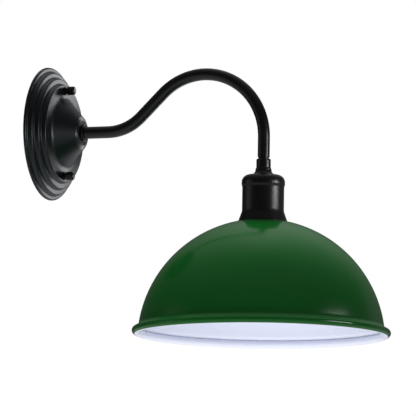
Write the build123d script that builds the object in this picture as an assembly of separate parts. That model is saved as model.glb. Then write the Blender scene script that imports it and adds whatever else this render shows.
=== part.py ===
from build123d import *
import os
from math import acos, asin, atan2, cos, degrees, radians, sin, sqrt, tan

# Gooseneck wall sconce, in millimetres.
# The wall is the plane X = 0 and the light stands out of it along +X. +Z is up.
# The origin is the centre of the wall plate's back, on the wall.

# ---- Clearances ----
thread_gap = 0.05        # radial, between a screw and what it screws into
rest_gap = 0.3           # between a moving piece and what it rests on
slip_gap = 0.1           # between a fixed piece and the one it slips into
hole_gap = 0.25          # radial, round a screw that passes through a plain hole
neck_gap = 0.7           # radial, round the lampholder in the shade's hole

# ---- Wall plate: one spun steel shell with three steps and a cone ----
plate_sheet = 1.2
plate_radius = 77.5
rim_height = 3.0
step_radii = [71.0, 64.0, 56.5]
step_heights = [8.4, 14.0, 19.5]
step_slope = 0.4         # rise of each ledge towards the next step
riser_lean = 1.5         # how far a step's riser leans inwards
step_round = 2.4
step_crease_round = 1.4
crease_round = 0.8
cone_base_radius = 41.5
cone_base_round = 10.0
nose_radius = 19.2
nose_rise = 2.2          # the domed end of the cone
nose_round = 5.0
nose_face_radius = 15.0
plate_depth = 43.2

# ---- Studs and finger nuts that hold the wall plate ----
stud_spacing = 100.0
stud_radius = 2.5
stud_head_radius = 4.6
stud_head_height = 2.8
stud_pitch = 0.8
stud_reach = 9.0         # past the plate's face
stud_nut_across = 8.0
stud_nut_height = 3.2
collar_radius = 5.0
collar_height = 1.3
cap_waist_radius = 3.8
cap_waist_length = 1.5
cap_radius = 5.0
cap_length = 9.2
cap_round = 2.2
cap_groove_count = 18
cap_groove_radius = 0.35
cap_bore_end = 0.9       # room past the stud's end

# ---- Strap on the wall, with raised ends ----
strap_sheet = 2.0
strap_width = 24.0
strap_length = 120.0
strap_flat_length = 72.0
strap_lift = 6.0
strap_joggle = 6.0
slot_spacing = 52.0
slot_width = 5.0
slot_length = 12.0
cable_hole_radius = 6.5
wing_margin = 4.0        # strap left round the block
wing_height = -2.0       # Z of the wing's middle

# ---- Terminal block on the wing ----
block_start = 14.0       # Y of the face that looks at the centre line
block_length = 18.0
block_width = 32.0
block_height = 9.0
way_lift = 4.05          # from the block's base to the axis of its ways
way_pitch = 10.0
insert_radius = 2.6
insert_bore = 1.5
insert_length = 16.0
clamp_screw_radius = 1.3
clamp_screw_head = 1.75
clamp_screw_length = 3.2
clamp_screw_spacing = 9.0
block_screw_radius = 1.5
block_screw_head = 2.6
block_screw_head_height = 1.4
driver_slot_width = 0.6
driver_slot_depth = 0.6

# ---- Earth connection ----
earth_screw_radius = 2.0
earth_head_radius = 3.6
earth_head_height = 2.4
cross_slot_width = 0.8
cross_slot_depth = 0.8
earth_washer_radius = 4.4
earth_washer_height = 0.8
eye_radius = 4.2
eye_sheet = 0.8
barrel_radius = 1.9
barrel_length = 4.4
barrel_start = 4.6       # Y of the barrel's inner end

# ---- Arm: one bent tube ----
tube_radius = 7.0
tube_bore = 5.05
arm_reach = 271.0        # X of the vertical leg
arch_top = 63.8          # Z of the tube's centre line at the top of the arch
arch_radius = 75.5
root_rise = 44.0         # degrees above level, between the two bends
root_bend_share = 0.578  # of the tube from the nipple's end to the bend's corner
tube_end = -35.2         # Z of the tube's lower end

# ---- Threaded nipples, locknuts and collars at the tube's two ends ----
nipple_radius = 5.0
nipple_bore = 3.25
nipple_grip = 12.0       # length screwed into the tube
locknut_across = 13.0
locknut_height = 4.0
lock_washer_radius = 7.6
lock_washer_height = 1.0
lock_washer_teeth = 12
lock_washer_notch = [1.6, 0.8]
root_collar_radius = 10.0
root_collar_height = 2.8
root_collar_seat = 1.0   # depth of the seat that takes the tube's end
root_nipple_tail = 5.0   # past the locknut, inside the cone
bush_bore = 2.55
bush_flange = 5.2
bush_flange_height = 1.5
bush_spigot = 6.0
nipple_room = 2.0        # from the lower nipple's end to the holder's roof
coupler_neck_radius = 6.3
coupler_neck_length = 2.3
coupler_radius = 8.4
coupler_length = 12.8
coupler_round = 1.4

# ---- Cup over the lampholder: spun steel ----
cup_sheet = 1.1
cup_neck_radius = 9.3
cup_neck_round = 1.6
cup_neck_length = 8.0
cup_neck_flare = 6.0
cup_bead_radius = 25.2
cup_shoulder_round = 9.0
cup_bead_height = 11.6   # from the shoulder down to the groove
cup_wall_radius = 24.3
cup_groove_height = 2.8
cup_groove_round = 6.0
cup_bead_round = 6.0
cup_wall_length = 28.3
cup_skirt_radius = 28.7
cup_skirt_drop = 11.9    # from the straight wall down to the flared edge
cup_flare_round = 14.0

# ---- Shade: enamelled steel dome with a rolled rim ----
shade_sheet = 1.2
dome_radius = 143.8
dome_foot_lift = 22.2    # from the dome's centre up to where it runs into the flare
flare_radius = 6.5
flare_end_angle = 75.0   # degrees outwards from straight down
bead_radius = 4.5
bead_gap = 1.1           # from the end of the curl to the flare above it
seat_radius = 30.0       # flat seat round the neck hole, under the cup
shade_travel = 8.0       # how far it comes down as the ring is unscrewed

# ---- Lampholder ----
holder_radius = 19.8     # over the thread for the shade ring
holder_clear = 1.0       # between the locknut in the cup and the holder's sleeve
sleeve_radius = 8.0
sleeve_height = 6.0
cap_wall = 2.4
cap_height = 24.0        # from the shoulder to the lower edge of the cap's wall
cap_shoulder_round = 5.0
cap_post_radius = 3.2
grub_radius = 1.5
grub_length = 3.2
sleeve_round = 2.0
wiring_room = 12.5       # from the roof down to the ceramic
thread_left = 0.6        # thread still in the ring at the end of its travel
skirt_wall = 2.8
skirt_round = 0.6
spigot_height = 6.0
spigot_wall = 1.4
mouth_radius = 14.4
mouth_height = 2.5
mouth_recess = 4.0       # from the mouth up to the screw shell
ceramic_radius = 15.6
ceramic_height = 12.0
boss_radius = 13.9
boss_height = 2.5
ledge_height = 2.1
ledge_radius = 14.9
insert_screw_offset = 11.0
insert_screw_radius = 1.5
insert_screw_head = 2.6
insert_screw_head_height = 1.6

# ---- E27 screw shell and contacts ----
shell_bore = 13.3
shell_sheet = 0.4
shell_grip = 21.8        # length of the threaded wall
shell_neck_radius = 14.4
strip_sheet = 0.5
strip_width = 4.0
strip_offset = 9.0       # Y of the live strip's leg
terminal_size = [7.0, 6.0, 6.0]
terminal_offset = 9.0
terminal_bore = 1.3
terminal_screw_radius = 1.3
terminal_screw_head = 2.1
terminal_screw_head_height = 1.4
terminal_screw_drop = 2.4
terminal_hole_depth = 4.5
tongue_root = 3.8        # Y of the hinged end
tongue_tip = -2.6        # Y of the end that touches the lamp
tongue_drop = 3.2
tongue_tip_radius = 0.7

# ---- Shade ring ----
ring_running_gap = 0.06
ring_radius = 26.5
ring_height = 5.5
ring_lip_radius = 23.2
ring_lip_height = 1.6
ring_notch_count = 16
ring_notch_radius = 1.2

# ---- Wires ----
wire_radius = 1.1
wire_offset = 1.3        # half the spacing of the two wires in the arm
wire_turn = 10.0
wire_lead_turn = 20.0
wire_fan_turn = 5.0
wire_end_turn = 4.0
wire_entry = 20.0        # Y of the wire ends inside the terminal block
wire_lead = 24.0         # X where the wires join the axis of the nose
wire_stub = 1.0          # straight stretch at a clamp or a ferrule
wire_fan_rise = 2.4      # above the holder's terminals
wire_end_depth = 3.0
live_way = 1             # ways of the block, counted from the middle one
neutral_way = 0
earth_way = -1

# ---- Worked out from the sizes above ----
plate_face = step_heights[-1]
stud_height = stud_spacing / 2
strap_face = strap_lift + strap_sheet
stud_end = plate_face + stud_reach
wing_reach = block_start + block_length + wing_margin
wing_width = block_width + wing_margin
collar_base = plate_face + rest_gap
cap_base = collar_base + collar_height + slip_gap
cap_end = cap_base + cap_waist_length + cap_length
plate_inner_nose = plate_depth - plate_sheet
root_nut_back = plate_inner_nose - lock_washer_height - locknut_height
root_nipple_start = root_nut_back - root_nipple_tail
tube_start = plate_depth + root_collar_height - root_collar_seat
root_nipple_end = tube_start + nipple_grip
coupler_end = tube_end - coupler_length
cup_top = coupler_end
cup_shoulder = cup_top - cup_neck_length
cup_groove = cup_shoulder - cup_bead_height
cup_wall_top = cup_groove - cup_groove_height
cup_wall_end = cup_wall_top - cup_wall_length
cup_bottom = cup_wall_end - cup_skirt_drop
cup_inner_top = cup_top - cup_sheet
cup_nut_end = cup_inner_top - lock_washer_height - locknut_height
holder_top = cup_nut_end - holder_clear
cap_shoulder = holder_top - sleeve_height
cap_inner_top = cap_shoulder - cap_wall
cap_inner_radius = holder_radius - cap_wall
cap_edge = cap_shoulder - cap_height
end_nipple_end = cap_inner_top + nipple_room
seat_height = cup_bottom - rest_gap
dome_centre = seat_height - sqrt(dome_radius**2 - seat_radius**2)
dome_foot = dome_centre + dome_foot_lift
neck_hole_radius = holder_radius + neck_gap
ring_top = seat_height - shade_sheet - rest_gap
ring_bore = holder_radius + ring_running_gap
skirt_end = ring_top - shade_travel - thread_left
shell_end = skirt_end + mouth_recess
block_base = strap_sheet
way_axis = block_base + way_lift
insert_face = way_axis + insert_radius + slip_gap
insert_start = block_start + (block_length - insert_length) / 2
earth_height = wing_height + earth_way * way_pitch
ceramic_top = cap_inner_top - wiring_room
ceramic_bottom = ceramic_top - ceramic_height
boss_bottom = ceramic_bottom - boss_height
shell_wall_top = shell_end + shell_grip
strip_top = ceramic_top + slip_gap + strip_sheet
terminal_base = strip_top + slip_gap
terminal_top = terminal_base + terminal_size[2]


# ---- Helpers ----

def outline(points, rounds=0):
    """Closed flat shape from (radius, height) corners, each with its own round."""
    return make_face(FilletPolyline(*points, radius=rounds, close=True))


def spun(section):
    """Turn a (radius, height) section round its height axis, with the height up."""
    return Rot(90, 0, 0) * revolve(section, Axis.Y, 360)


def spun_out(section):
    """Turn a (radius, height) section, with the height out from the wall."""
    return Rot(0, 0, -90) * revolve(section, Axis.Y, 360)


def at_lamp(solid):
    """Move a piece made round the Z axis to the lamp's axis."""
    return Pos(arm_reach, 0, 0) * solid


def tube_section(inner, outer, low, high):
    """Section of a plain ring or tube."""
    return outline([(inner, low), (outer, low), (outer, high), (inner, high)])


def disc(radius, low, high):
    """Upright cylinder between two heights."""
    return Pos(0, 0, low) * Cylinder(radius, high - low, align=(Align.CENTER, Align.CENTER, Align.MIN))


def rod_out(radius, start, end, y=0.0, z=0.0):
    """Cylinder along X."""
    rod = Rot(0, 90, 0) * disc(radius, start, end)
    return Pos(0, y, z) * rod


def rod_across(radius, start, end, x=0.0, z=0.0):
    """Cylinder along Y."""
    rod = Rot(-90, 0, 0) * disc(radius, start, end)
    return Pos(x, 0, z) * rod


def block_between(low, high):
    """Box between two corners."""
    size = [high[axis] - low[axis] for axis in range(3)]
    middle = [(high[axis] + low[axis]) / 2 for axis in range(3)]
    return Pos(*middle) * Box(*size)


def driver_slot(head_end, head_radius, y, z):
    """Cutter for the slot in a screw head that faces +X."""
    reach = head_radius + 1
    low = (head_end - driver_slot_depth, y - reach, z - driver_slot_width / 2)
    high = (head_end + 1, y + reach, z + driver_slot_width / 2)
    return block_between(low, high)


def hexagon(across, low, high):
    """Six-sided nut blank, upright."""
    side = extrude(RegularPolygon(across / 2, 6, major_radius=False), high - low)
    return Pos(0, 0, low) * side


def write(node, *solids):
    """One STEP file for a node, with each solid on its own."""
    shape = solids[0] if len(solids) == 1 else Compound(children=list(solids))
    shape.label = node
    export_step(shape, os.path.join("parts", node + ".step"))


# ---- Wall plate ----

def wall_plate():
    corners = [(plate_radius, 0), (plate_radius, rim_height)]
    rounds = [step_round]
    ledge = rim_height
    for radius, height in zip(step_radii, step_heights):
        ledge = ledge + step_slope
        corners += [(radius + riser_lean, ledge), (radius, height)]
        rounds += [step_crease_round, step_round]
        ledge = height
    corners += [(cone_base_radius, plate_face), (nose_radius, plate_depth - nose_rise)]
    corners += [(nose_face_radius, plate_depth), (nipple_radius + thread_gap, plate_depth)]
    rounds += [cone_base_round, step_crease_round, nose_round]
    face_line = FilletPolyline(*corners, radius=rounds)
    section = make_face(offset(face_line, amount=plate_sheet, side=Side.LEFT, closed=True))
    plate = spun_out(section)
    for height in (stud_height, -stud_height):
        plate -= rod_out(stud_radius + hole_gap, 0, plate_depth, z=height)
    return plate


# ---- Strap, studs and the finger nuts ----

def wall_strap():
    flat = strap_flat_length / 2
    raised = flat + strap_joggle
    end = strap_length / 2
    lean = strap_sheet * tan(atan2(strap_lift, strap_joggle) / 2)
    upper = [(0, flat), (strap_lift, raised), (strap_lift, end)]
    upper += [(strap_face, end), (strap_face, raised - lean), (strap_sheet, flat - lean)]
    lower = [(x, -z) for x, z in reversed(upper)]
    side = Plane.XZ * outline(upper + lower)
    strap = extrude(side, strap_width / 2, both=True)
    wing_low = (0, 0, wing_height - wing_width / 2)
    wing_high = (strap_sheet, wing_reach, wing_height + wing_width / 2)
    strap += block_between(wing_low, wing_high)
    strap -= rod_out(cable_hole_radius, -1, strap_sheet + 1)
    for sign in (1, -1):
        slot = extrude(SlotOverall(slot_length, slot_width, rotation=90), strap_sheet * 2, both=True)
        slot = Rot(0, 90, 0) * Rot(0, 0, 90) * slot
        strap -= Pos(strap_sheet, 0, sign * slot_spacing / 2) * slot
        strap -= rod_out(stud_radius + thread_gap, strap_lift - 1, strap_face + 1, z=sign * stud_height)
    strap -= rod_out(earth_screw_radius + thread_gap, -1, strap_sheet + 1, z=earth_height)
    strap -= rod_out(block_screw_radius + thread_gap, -1, strap_sheet + 1,
                     y=block_middle()[0], z=block_middle()[1])
    return strap


def stud(height):
    head = rod_out(stud_head_radius, strap_lift - stud_head_height, strap_lift, z=height)
    head = fillet(head.edges().filter_by(GeomType.CIRCLE).group_by(Axis.X)[0], crease_round)
    shank = rod_out(stud_radius, strap_lift, stud_end, z=height)
    end_edge = shank.edges().filter_by(GeomType.CIRCLE).group_by(Axis.X)[-1]
    return head + chamfer(end_edge, stud_pitch / 2)


def stud_nut(height):
    nut = Rot(0, 90, 0) * hexagon(stud_nut_across, strap_face, strap_face + stud_nut_height)
    nut = Pos(0, 0, height) * nut
    return nut - rod_out(stud_radius + thread_gap, 0, plate_depth, z=height)


def captive_collar(height):
    end = collar_base + collar_height
    section = tube_section(stud_radius + thread_gap, collar_radius, collar_base, end)
    collar = Pos(0, 0, height) * spun_out(section)
    outer = collar.edges().filter_by(GeomType.CIRCLE).sort_by(SortBy.RADIUS)[-2:]
    return chamfer(outer, collar_height / 4)


def cap_nut(height):
    waist_end = cap_base + cap_waist_length
    corners = [(0, cap_base), (cap_waist_radius, cap_base), (cap_waist_radius, waist_end)]
    corners += [(cap_radius, waist_end), (cap_radius, cap_end), (0, cap_end)]
    nut = spun_out(outline(corners, [0, 0, crease_round, crease_round, cap_round, 0]))
    nut -= rod_out(stud_radius + thread_gap, cap_base - 1, stud_end + cap_bore_end)
    groove_start = waist_end + crease_round
    groove = rod_out(cap_groove_radius, groove_start, cap_end - cap_round, z=cap_radius)
    for turn in range(cap_groove_count):
        nut -= Rot(turn * 360 / cap_groove_count, 0, 0) * groove
    return Pos(0, 0, height) * nut


# ---- Terminal block and earth ----

def way_height(way):
    """Z of a way of the terminal block."""
    return wing_height + way * way_pitch


def block_middle():
    """Y and Z of the screw that holds the block, between two ways."""
    return (block_start + block_length / 2, way_height(0) + way_pitch / 2)


def clamp_places():
    """Y and Z of each clamp screw of the block."""
    middle = block_start + block_length / 2
    places = []
    for way in (-1, 0, 1):
        for side in (-1, 1):
            places.append((middle + side * clamp_screw_spacing / 2, way_height(way)))
    return places


def terminal_block():
    low = (block_base, block_start, wing_height - block_width / 2)
    high = (block_base + block_height, block_start + block_length, wing_height + block_width / 2)
    block = block_between(low, high)
    block = fillet(block.edges().filter_by(Axis.X), crease_round)
    for way in (-1, 0, 1):
        block -= rod_across(insert_radius + slip_gap, 0, wing_reach + 1, x=way_axis, z=way_height(way))
    for y, z in clamp_places():
        block -= rod_out(clamp_screw_head + hole_gap, way_axis, plate_depth, y=y, z=z)
    y, z = block_middle()
    block -= rod_out(block_screw_radius + hole_gap, 0, plate_depth, y=y, z=z)
    block -= rod_out(block_screw_head + hole_gap, insert_face, plate_depth, y=y, z=z)
    return block


def block_insert(way):
    z = way_height(way)
    insert = rod_across(insert_radius, insert_start, insert_start + insert_length, x=way_axis, z=z)
    insert -= rod_across(insert_bore, 0, wing_reach, x=way_axis, z=z)
    for y, height in clamp_places():
        insert -= rod_out(clamp_screw_radius + thread_gap, way_axis, plate_depth, y=y, z=height)
    return insert


def clamp_screw(y, z):
    tip = way_axis + wire_radius + thread_gap
    end = tip + clamp_screw_length
    screw = rod_out(clamp_screw_radius, tip, end, y=y, z=z)
    screw += rod_out(clamp_screw_head, insert_face, end, y=y, z=z)
    return screw - driver_slot(end, clamp_screw_head, y, z)


def block_screw():
    y, z = block_middle()
    head_end = insert_face + block_screw_head_height
    screw = rod_out(block_screw_radius, slip_gap, insert_face, y=y, z=z)
    screw += rod_out(block_screw_head, insert_face, head_end, y=y, z=z)
    return screw - driver_slot(head_end, block_screw_head, y, z)


def earth_stack():
    """Washer, ring terminal and screw, one on top of the other on the strap."""
    bore = earth_screw_radius + thread_gap
    washer_base = strap_sheet
    eye_base = washer_base + earth_washer_height
    head_base = eye_base + eye_sheet
    head_end = head_base + earth_head_height
    washer = spun_out(tube_section(bore, earth_washer_radius, washer_base, eye_base))
    washer = Pos(0, 0, earth_height) * washer
    eye = rod_out(eye_radius, eye_base, head_base, z=earth_height)
    neck_low = (eye_base, 0, earth_height - barrel_radius)
    neck_high = (head_base, barrel_start + 1, earth_height + barrel_radius)
    eye += block_between(neck_low, neck_high)
    barrel_axis = eye_base + barrel_radius
    barrel_end = barrel_start + barrel_length
    eye += rod_across(barrel_radius, barrel_start, barrel_end, x=barrel_axis, z=earth_height)
    bore_start = barrel_start + wire_stub
    eye -= rod_across(wire_radius + thread_gap, bore_start, wing_reach, x=barrel_axis, z=earth_height)
    eye -= rod_out(bore, 0, plate_depth, z=earth_height)
    screw = rod_out(earth_screw_radius, slip_gap, head_base, z=earth_height)
    screw += rod_out(earth_head_radius, head_base, head_end, z=earth_height)
    for turn in (45, 135):
        slot = Rot(turn, 0, 0) * Box(2 * cross_slot_depth, earth_head_radius, cross_slot_width)
        screw -= Pos(head_end, 0, earth_height) * slot
    return washer, eye, screw, barrel_axis


# ---- Arm ----

def arm_corners():
    """X of the root bend's corner, Z of the arch's corner, and the root bend's radius, on the centre line."""
    rise = radians(root_rise)
    arch_x = arm_reach - arch_radius
    arch_z = arch_top - arch_radius
    touch_x = arch_x - arch_radius * sin(rise)
    touch_z = arch_z + arch_radius * cos(rise)
    root_corner = touch_x - touch_z / tan(rise)
    arch_corner = touch_z + (arm_reach - touch_x) * tan(rise)
    root_run = root_bend_share * (root_corner - root_nipple_end)
    root_radius = root_run / tan(rise / 2)
    return root_corner, arch_corner, root_radius


def bent_tube():
    root_corner, arch_corner, root_radius = arm_corners()
    points = [(tube_start, 0, 0), (root_corner, 0, 0)]
    points += [(arm_reach, 0, arch_corner), (arm_reach, 0, tube_end)]
    path = FilletPolyline(*points, radius=[root_radius, arch_radius])
    start = Plane(origin=(tube_start, 0, 0), x_dir=(0, 1, 0), z_dir=(1, 0, 0))
    section = Circle(tube_radius) - Circle(tube_bore)
    return sweep(start * section, path=path)


def root_collar():
    top = plate_depth + root_collar_height
    seat = top - root_collar_seat
    corners = [(nipple_radius + thread_gap, plate_depth), (root_collar_radius, plate_depth)]
    corners += [(root_collar_radius, top), (tube_radius + thread_gap, top)]
    corners += [(tube_radius + thread_gap, seat), (nipple_radius + thread_gap, seat)]
    return spun_out(outline(corners, [0, 0, crease_round, 0, 0, 0]))


def lock_nut(low):
    nut = hexagon(locknut_across, low, low + locknut_height)
    return nut - disc(nipple_radius + thread_gap, low - 1, low + locknut_height + 1)


def lock_washer(low):
    """Toothed washer: teeth all round a thin ring."""
    washer = disc(lock_washer_radius, low, low + lock_washer_height)
    washer -= disc(nipple_radius + thread_gap, low - 1, low + lock_washer_height + 1)
    notch = Box(*lock_washer_notch, 2 * lock_washer_height)
    notch = Pos(lock_washer_radius, 0, low + lock_washer_height / 2) * notch
    for tooth in range(lock_washer_teeth):
        washer -= Rot(0, 0, tooth * 360 / lock_washer_teeth) * notch
    return washer


def wire_bush():
    flange_start = root_nipple_start - bush_flange_height
    corners = [(bush_bore, flange_start), (bush_flange, flange_start), (bush_flange, root_nipple_start)]
    corners += [(nipple_bore - thread_gap, root_nipple_start)]
    corners += [(nipple_bore - thread_gap, root_nipple_start + bush_spigot)]
    corners += [(bush_bore, root_nipple_start + bush_spigot)]
    return spun_out(outline(corners, [crease_round / 2, crease_round / 2, 0, 0, 0, 0]))


def end_coupler():
    neck_end = tube_end - coupler_neck_length
    bore = nipple_radius + thread_gap
    corners = [(bore, coupler_end), (coupler_radius, coupler_end), (coupler_radius, neck_end)]
    corners += [(coupler_neck_radius, neck_end), (coupler_neck_radius, tube_end), (bore, tube_end)]
    return at_lamp(spun(outline(corners, [0, crease_round, coupler_round, 0, 0, 0])))


# ---- Cup ----

def holder_cup():
    corners = [(nipple_radius + thread_gap, cup_top), (cup_neck_radius, cup_top)]
    corners += [(cup_neck_radius, cup_shoulder)]
    corners += [(cup_bead_radius, cup_shoulder), (cup_bead_radius, cup_groove)]
    corners += [(cup_wall_radius, cup_wall_top), (cup_wall_radius, cup_wall_end)]
    corners += [(cup_skirt_radius, cup_bottom)]
    rounds = [cup_neck_round, cup_neck_flare, cup_shoulder_round]
    rounds += [cup_bead_round, cup_groove_round, cup_flare_round]
    face_line = FilletPolyline(*corners, radius=rounds)
    section = make_face(offset(face_line, amount=cup_sheet, side=Side.RIGHT, closed=True))
    trim = disc(cup_skirt_radius + 1, cup_bottom - cup_sheet, cup_bottom)
    return at_lamp(spun(section) - trim)


# ---- Lampholder ----

def lampholder_cap():
    bore = nipple_radius + thread_gap
    corners = [(bore, holder_top), (sleeve_radius, holder_top), (sleeve_radius, cap_shoulder)]
    corners += [(holder_radius, cap_shoulder), (holder_radius, cap_edge), (cap_inner_radius, cap_edge)]
    corners += [(cap_inner_radius, cap_inner_top), (bore, cap_inner_top)]
    rounds = [0, crease_round, sleeve_round, cap_shoulder_round, 0, 0, cap_shoulder_round - cap_wall, 0]
    cap = spun(outline(corners, rounds))
    for side in (1, -1):
        post = disc(cap_post_radius, ceramic_top, cap_inner_top + cap_wall / 2)
        post -= disc(insert_screw_radius + thread_gap, ceramic_top - 1, cap_inner_top)
        cap += Pos(side * insert_screw_offset, 0, 0) * post
    grub_height = holder_top - sleeve_height / 2
    cap -= rod_across(grub_radius + thread_gap, nipple_radius, sleeve_radius + 1, z=grub_height)
    return at_lamp(cap)


def grub_screw():
    height = holder_top - sleeve_height / 2
    screw = rod_across(grub_radius, nipple_radius + thread_gap, nipple_radius + grub_length, z=height)
    end = nipple_radius + grub_length
    slot_low = (-grub_radius - 1, end - driver_slot_depth, height - driver_slot_width / 2)
    slot_high = (grub_radius + 1, end + 1, height + driver_slot_width / 2)
    return at_lamp(screw - block_between(slot_low, slot_high))


def ceramic_insert():
    section = outline([(0, boss_bottom), (boss_radius, boss_bottom), (boss_radius, ceramic_bottom),
                       (ceramic_radius, ceramic_bottom), (ceramic_radius, ceramic_top), (0, ceramic_top)])
    ceramic = spun(section)
    half = strip_width / 2 + slip_gap
    slot_low = (-half, strip_offset - slip_gap, boss_bottom - 1)
    slot_high = (half, strip_offset + strip_sheet + slip_gap, ceramic_top + 1)
    ceramic -= block_between(slot_low, slot_high)
    notch_low = (-half, -shell_neck_radius - 1, ceramic_bottom - 1)
    notch_high = (half, -shell_neck_radius + strip_sheet + slip_gap, ceramic_top + 1)
    ceramic -= block_between(notch_low, notch_high)
    for side in (1, -1):
        x = side * insert_screw_offset
        ceramic -= Pos(x, 0, 0) * disc(insert_screw_radius + hole_gap, boss_bottom - 1, ceramic_top + 1)
        ceramic -= Pos(x, 0, 0) * disc(insert_screw_head + hole_gap, boss_bottom - 1, insert_head_top())
    return at_lamp(ceramic)


def insert_head_top():
    """Z of the seat under the heads of the screws that hold the ceramic."""
    return boss_bottom + insert_screw_head_height + slip_gap


def insert_screw(side):
    head_low = boss_bottom + slip_gap
    screw = disc(insert_screw_head, head_low, insert_head_top())
    screw += disc(insert_screw_radius, insert_head_top(), cap_inner_top - 1)
    slot = Box(2 * insert_screw_head + 1, driver_slot_width, 2 * driver_slot_depth)
    screw -= Pos(0, 0, head_low) * slot
    return at_lamp(Pos(side * insert_screw_offset, 0, 0) * screw)


def terminal_clamp(side):
    """Brass block that holds the end of a wire."""
    length, width, height = terminal_size
    y = side * terminal_offset
    low = (-length / 2, y - width / 2, terminal_base)
    high = (length / 2, y + width / 2, terminal_top)
    clamp = block_between(low, high)
    clamp -= Pos(0, y, 0) * disc(terminal_bore, terminal_top - terminal_hole_depth, terminal_top + 1)
    hole = rod_out(terminal_screw_radius + thread_gap, 0, length, y=y, z=terminal_screw_height())
    return at_lamp(clamp - hole)


def terminal_screw_height():
    """Z of the screws in the two terminals."""
    return terminal_top - terminal_screw_drop


def terminal_screw(side):
    y = side * terminal_offset
    z = terminal_screw_height()
    start = wire_radius + thread_gap
    head = terminal_size[0] / 2 + slip_gap
    end = head + terminal_screw_head_height
    screw = rod_out(terminal_screw_radius, start, head, y=y, z=z)
    screw += rod_out(terminal_screw_head, head, end, y=y, z=z)
    return at_lamp(screw - driver_slot(end, terminal_screw_head, y, z))


def contact_strip():
    """Fixed strip from the live terminal down through the ceramic."""
    half = strip_width / 2
    leg_out = strip_offset + strip_sheet
    foot_top = boss_bottom - slip_gap
    foot = foot_top - strip_sheet
    reach = terminal_size[1] / 2
    strip = block_between((-half, strip_offset, foot), (half, leg_out, strip_top))
    tab_low = (-half, terminal_offset - reach, strip_top - strip_sheet)
    strip += block_between(tab_low, (half, terminal_offset + reach, strip_top))
    strip += block_between((-half, tongue_root + rest_gap, foot), (half, leg_out, foot_top))
    return at_lamp(strip)


def contact_tongue():
    """Sprung end of the strip, with a rounded tip that touches the lamp."""
    top = boss_bottom - slip_gap - strip_sheet / 2
    half = strip_width / 2
    line = [(tongue_root, top), (tongue_tip, top - tongue_drop)]
    bar = offset(Polyline(*line), amount=strip_sheet / 2)
    blade = extrude(Plane.YZ * make_face(bar), half, both=True)
    tip = Pos(0, tongue_tip, top - tongue_drop) * Rot(0, 90, 0) * Cylinder(tongue_tip_radius, strip_width)
    return at_lamp(blade + tip)


def screw_shell():
    outer = shell_bore + shell_sheet
    neck_inner = shell_neck_radius - shell_sheet
    shoulder = shell_wall_top + shell_neck_radius - outer
    neck_top = ceramic_bottom - slip_gap
    corners = [(shell_bore, shell_end), (outer, shell_end), (outer, shell_wall_top)]
    corners += [(shell_neck_radius, shoulder), (shell_neck_radius, neck_top), (neck_inner, neck_top)]
    corners += [(neck_inner, shoulder), (shell_bore, shell_wall_top)]
    shell = spun(outline(corners))
    half = strip_width / 2
    reach = terminal_size[1] / 2
    leg_low = (-half, -shell_neck_radius, neck_top - 1)
    shell += block_between(leg_low, (half, -shell_neck_radius + strip_sheet, strip_top))
    tab_low = (-half, -shell_neck_radius, strip_top - strip_sheet)
    shell += block_between(tab_low, (half, reach - terminal_offset, strip_top))
    return at_lamp(shell)


def lampholder_skirt():
    spigot_top = cap_edge + spigot_height
    spigot_radius = cap_inner_radius - slip_gap
    spigot_inner = spigot_radius - spigot_wall
    inner = holder_radius - skirt_wall
    seat = cap_edge - thread_gap
    ledge_top = ceramic_bottom - slip_gap
    ledge_end = ledge_top - ledge_height
    mouth_top = skirt_end + mouth_height
    corners = [(spigot_inner, spigot_top), (spigot_radius, spigot_top), (spigot_radius, seat)]
    corners += [(holder_radius, seat), (holder_radius, skirt_end), (mouth_radius, skirt_end)]
    corners += [(mouth_radius, mouth_top), (inner, mouth_top + inner - mouth_radius)]
    corners += [(inner, ledge_end - inner + ledge_radius), (ledge_radius, ledge_end)]
    corners += [(ledge_radius, ledge_top), (spigot_inner, ledge_top)]
    rounds = [0, 0, 0, 0, skirt_round, skirt_round, 0, 0, 0, 0, 0, 0]
    return at_lamp(spun(outline(corners, rounds)))


# ---- Shade and its ring ----

def polar(centre, radius, angle):
    """Point on a circle, with the angle from straight out, downwards."""
    turn = radians(angle)
    return (centre[0] + radius * cos(turn), centre[1] - radius * sin(turn))


def shade():
    foot_radius = sqrt(dome_radius**2 - (dome_foot - dome_centre)**2)
    foot = (foot_radius, dome_foot)
    foot_lift = degrees(asin((dome_foot - dome_centre) / dome_radius))
    seat_lift = degrees(asin((seat_height - dome_centre) / dome_radius))
    crown = polar((0, dome_centre), dome_radius, -(foot_lift + seat_lift) / 2)
    flare_centre = polar((0, dome_centre), dome_radius + flare_radius, -foot_lift)
    foot_angle = 180 - foot_lift
    bead_start = polar(flare_centre, flare_radius, 180 - flare_end_angle)
    flare_middle = polar(flare_centre, flare_radius, (foot_angle + 180 - flare_end_angle) / 2)
    bead_angle = -flare_end_angle
    bead_centre = (bead_start[0] - bead_radius * cos(radians(bead_angle)),
                   bead_start[1] + bead_radius * sin(radians(bead_angle)))
    centres = flare_radius + bead_radius
    clear = flare_radius + shade_sheet + bead_gap
    opening = acos((centres**2 + bead_radius**2 - clear**2) / (2 * centres * bead_radius))
    curl_angle = 360 + bead_angle - degrees(opening)
    bead_low, bead_middle, bead_high, bead_end = [
        polar(bead_centre, bead_radius, bead_angle + (curl_angle - bead_angle) * quarter / 4)
        for quarter in (1, 2, 3, 4)]
    face_line = Curve() + [
        Line((neck_hole_radius, seat_height), (seat_radius, seat_height)),
        ThreePointArc((seat_radius, seat_height), crown, foot),
        ThreePointArc(foot, flare_middle, bead_start),
        ThreePointArc(bead_start, bead_low, bead_middle),
    ]
    curl_line = ThreePointArc(bead_middle, bead_high, bead_end)
    section = make_face(offset(face_line, amount=shade_sheet, side=Side.RIGHT, closed=True))
    section += make_face(offset(curl_line, amount=shade_sheet, side=Side.RIGHT, closed=True))
    return at_lamp(spun(section))


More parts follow.
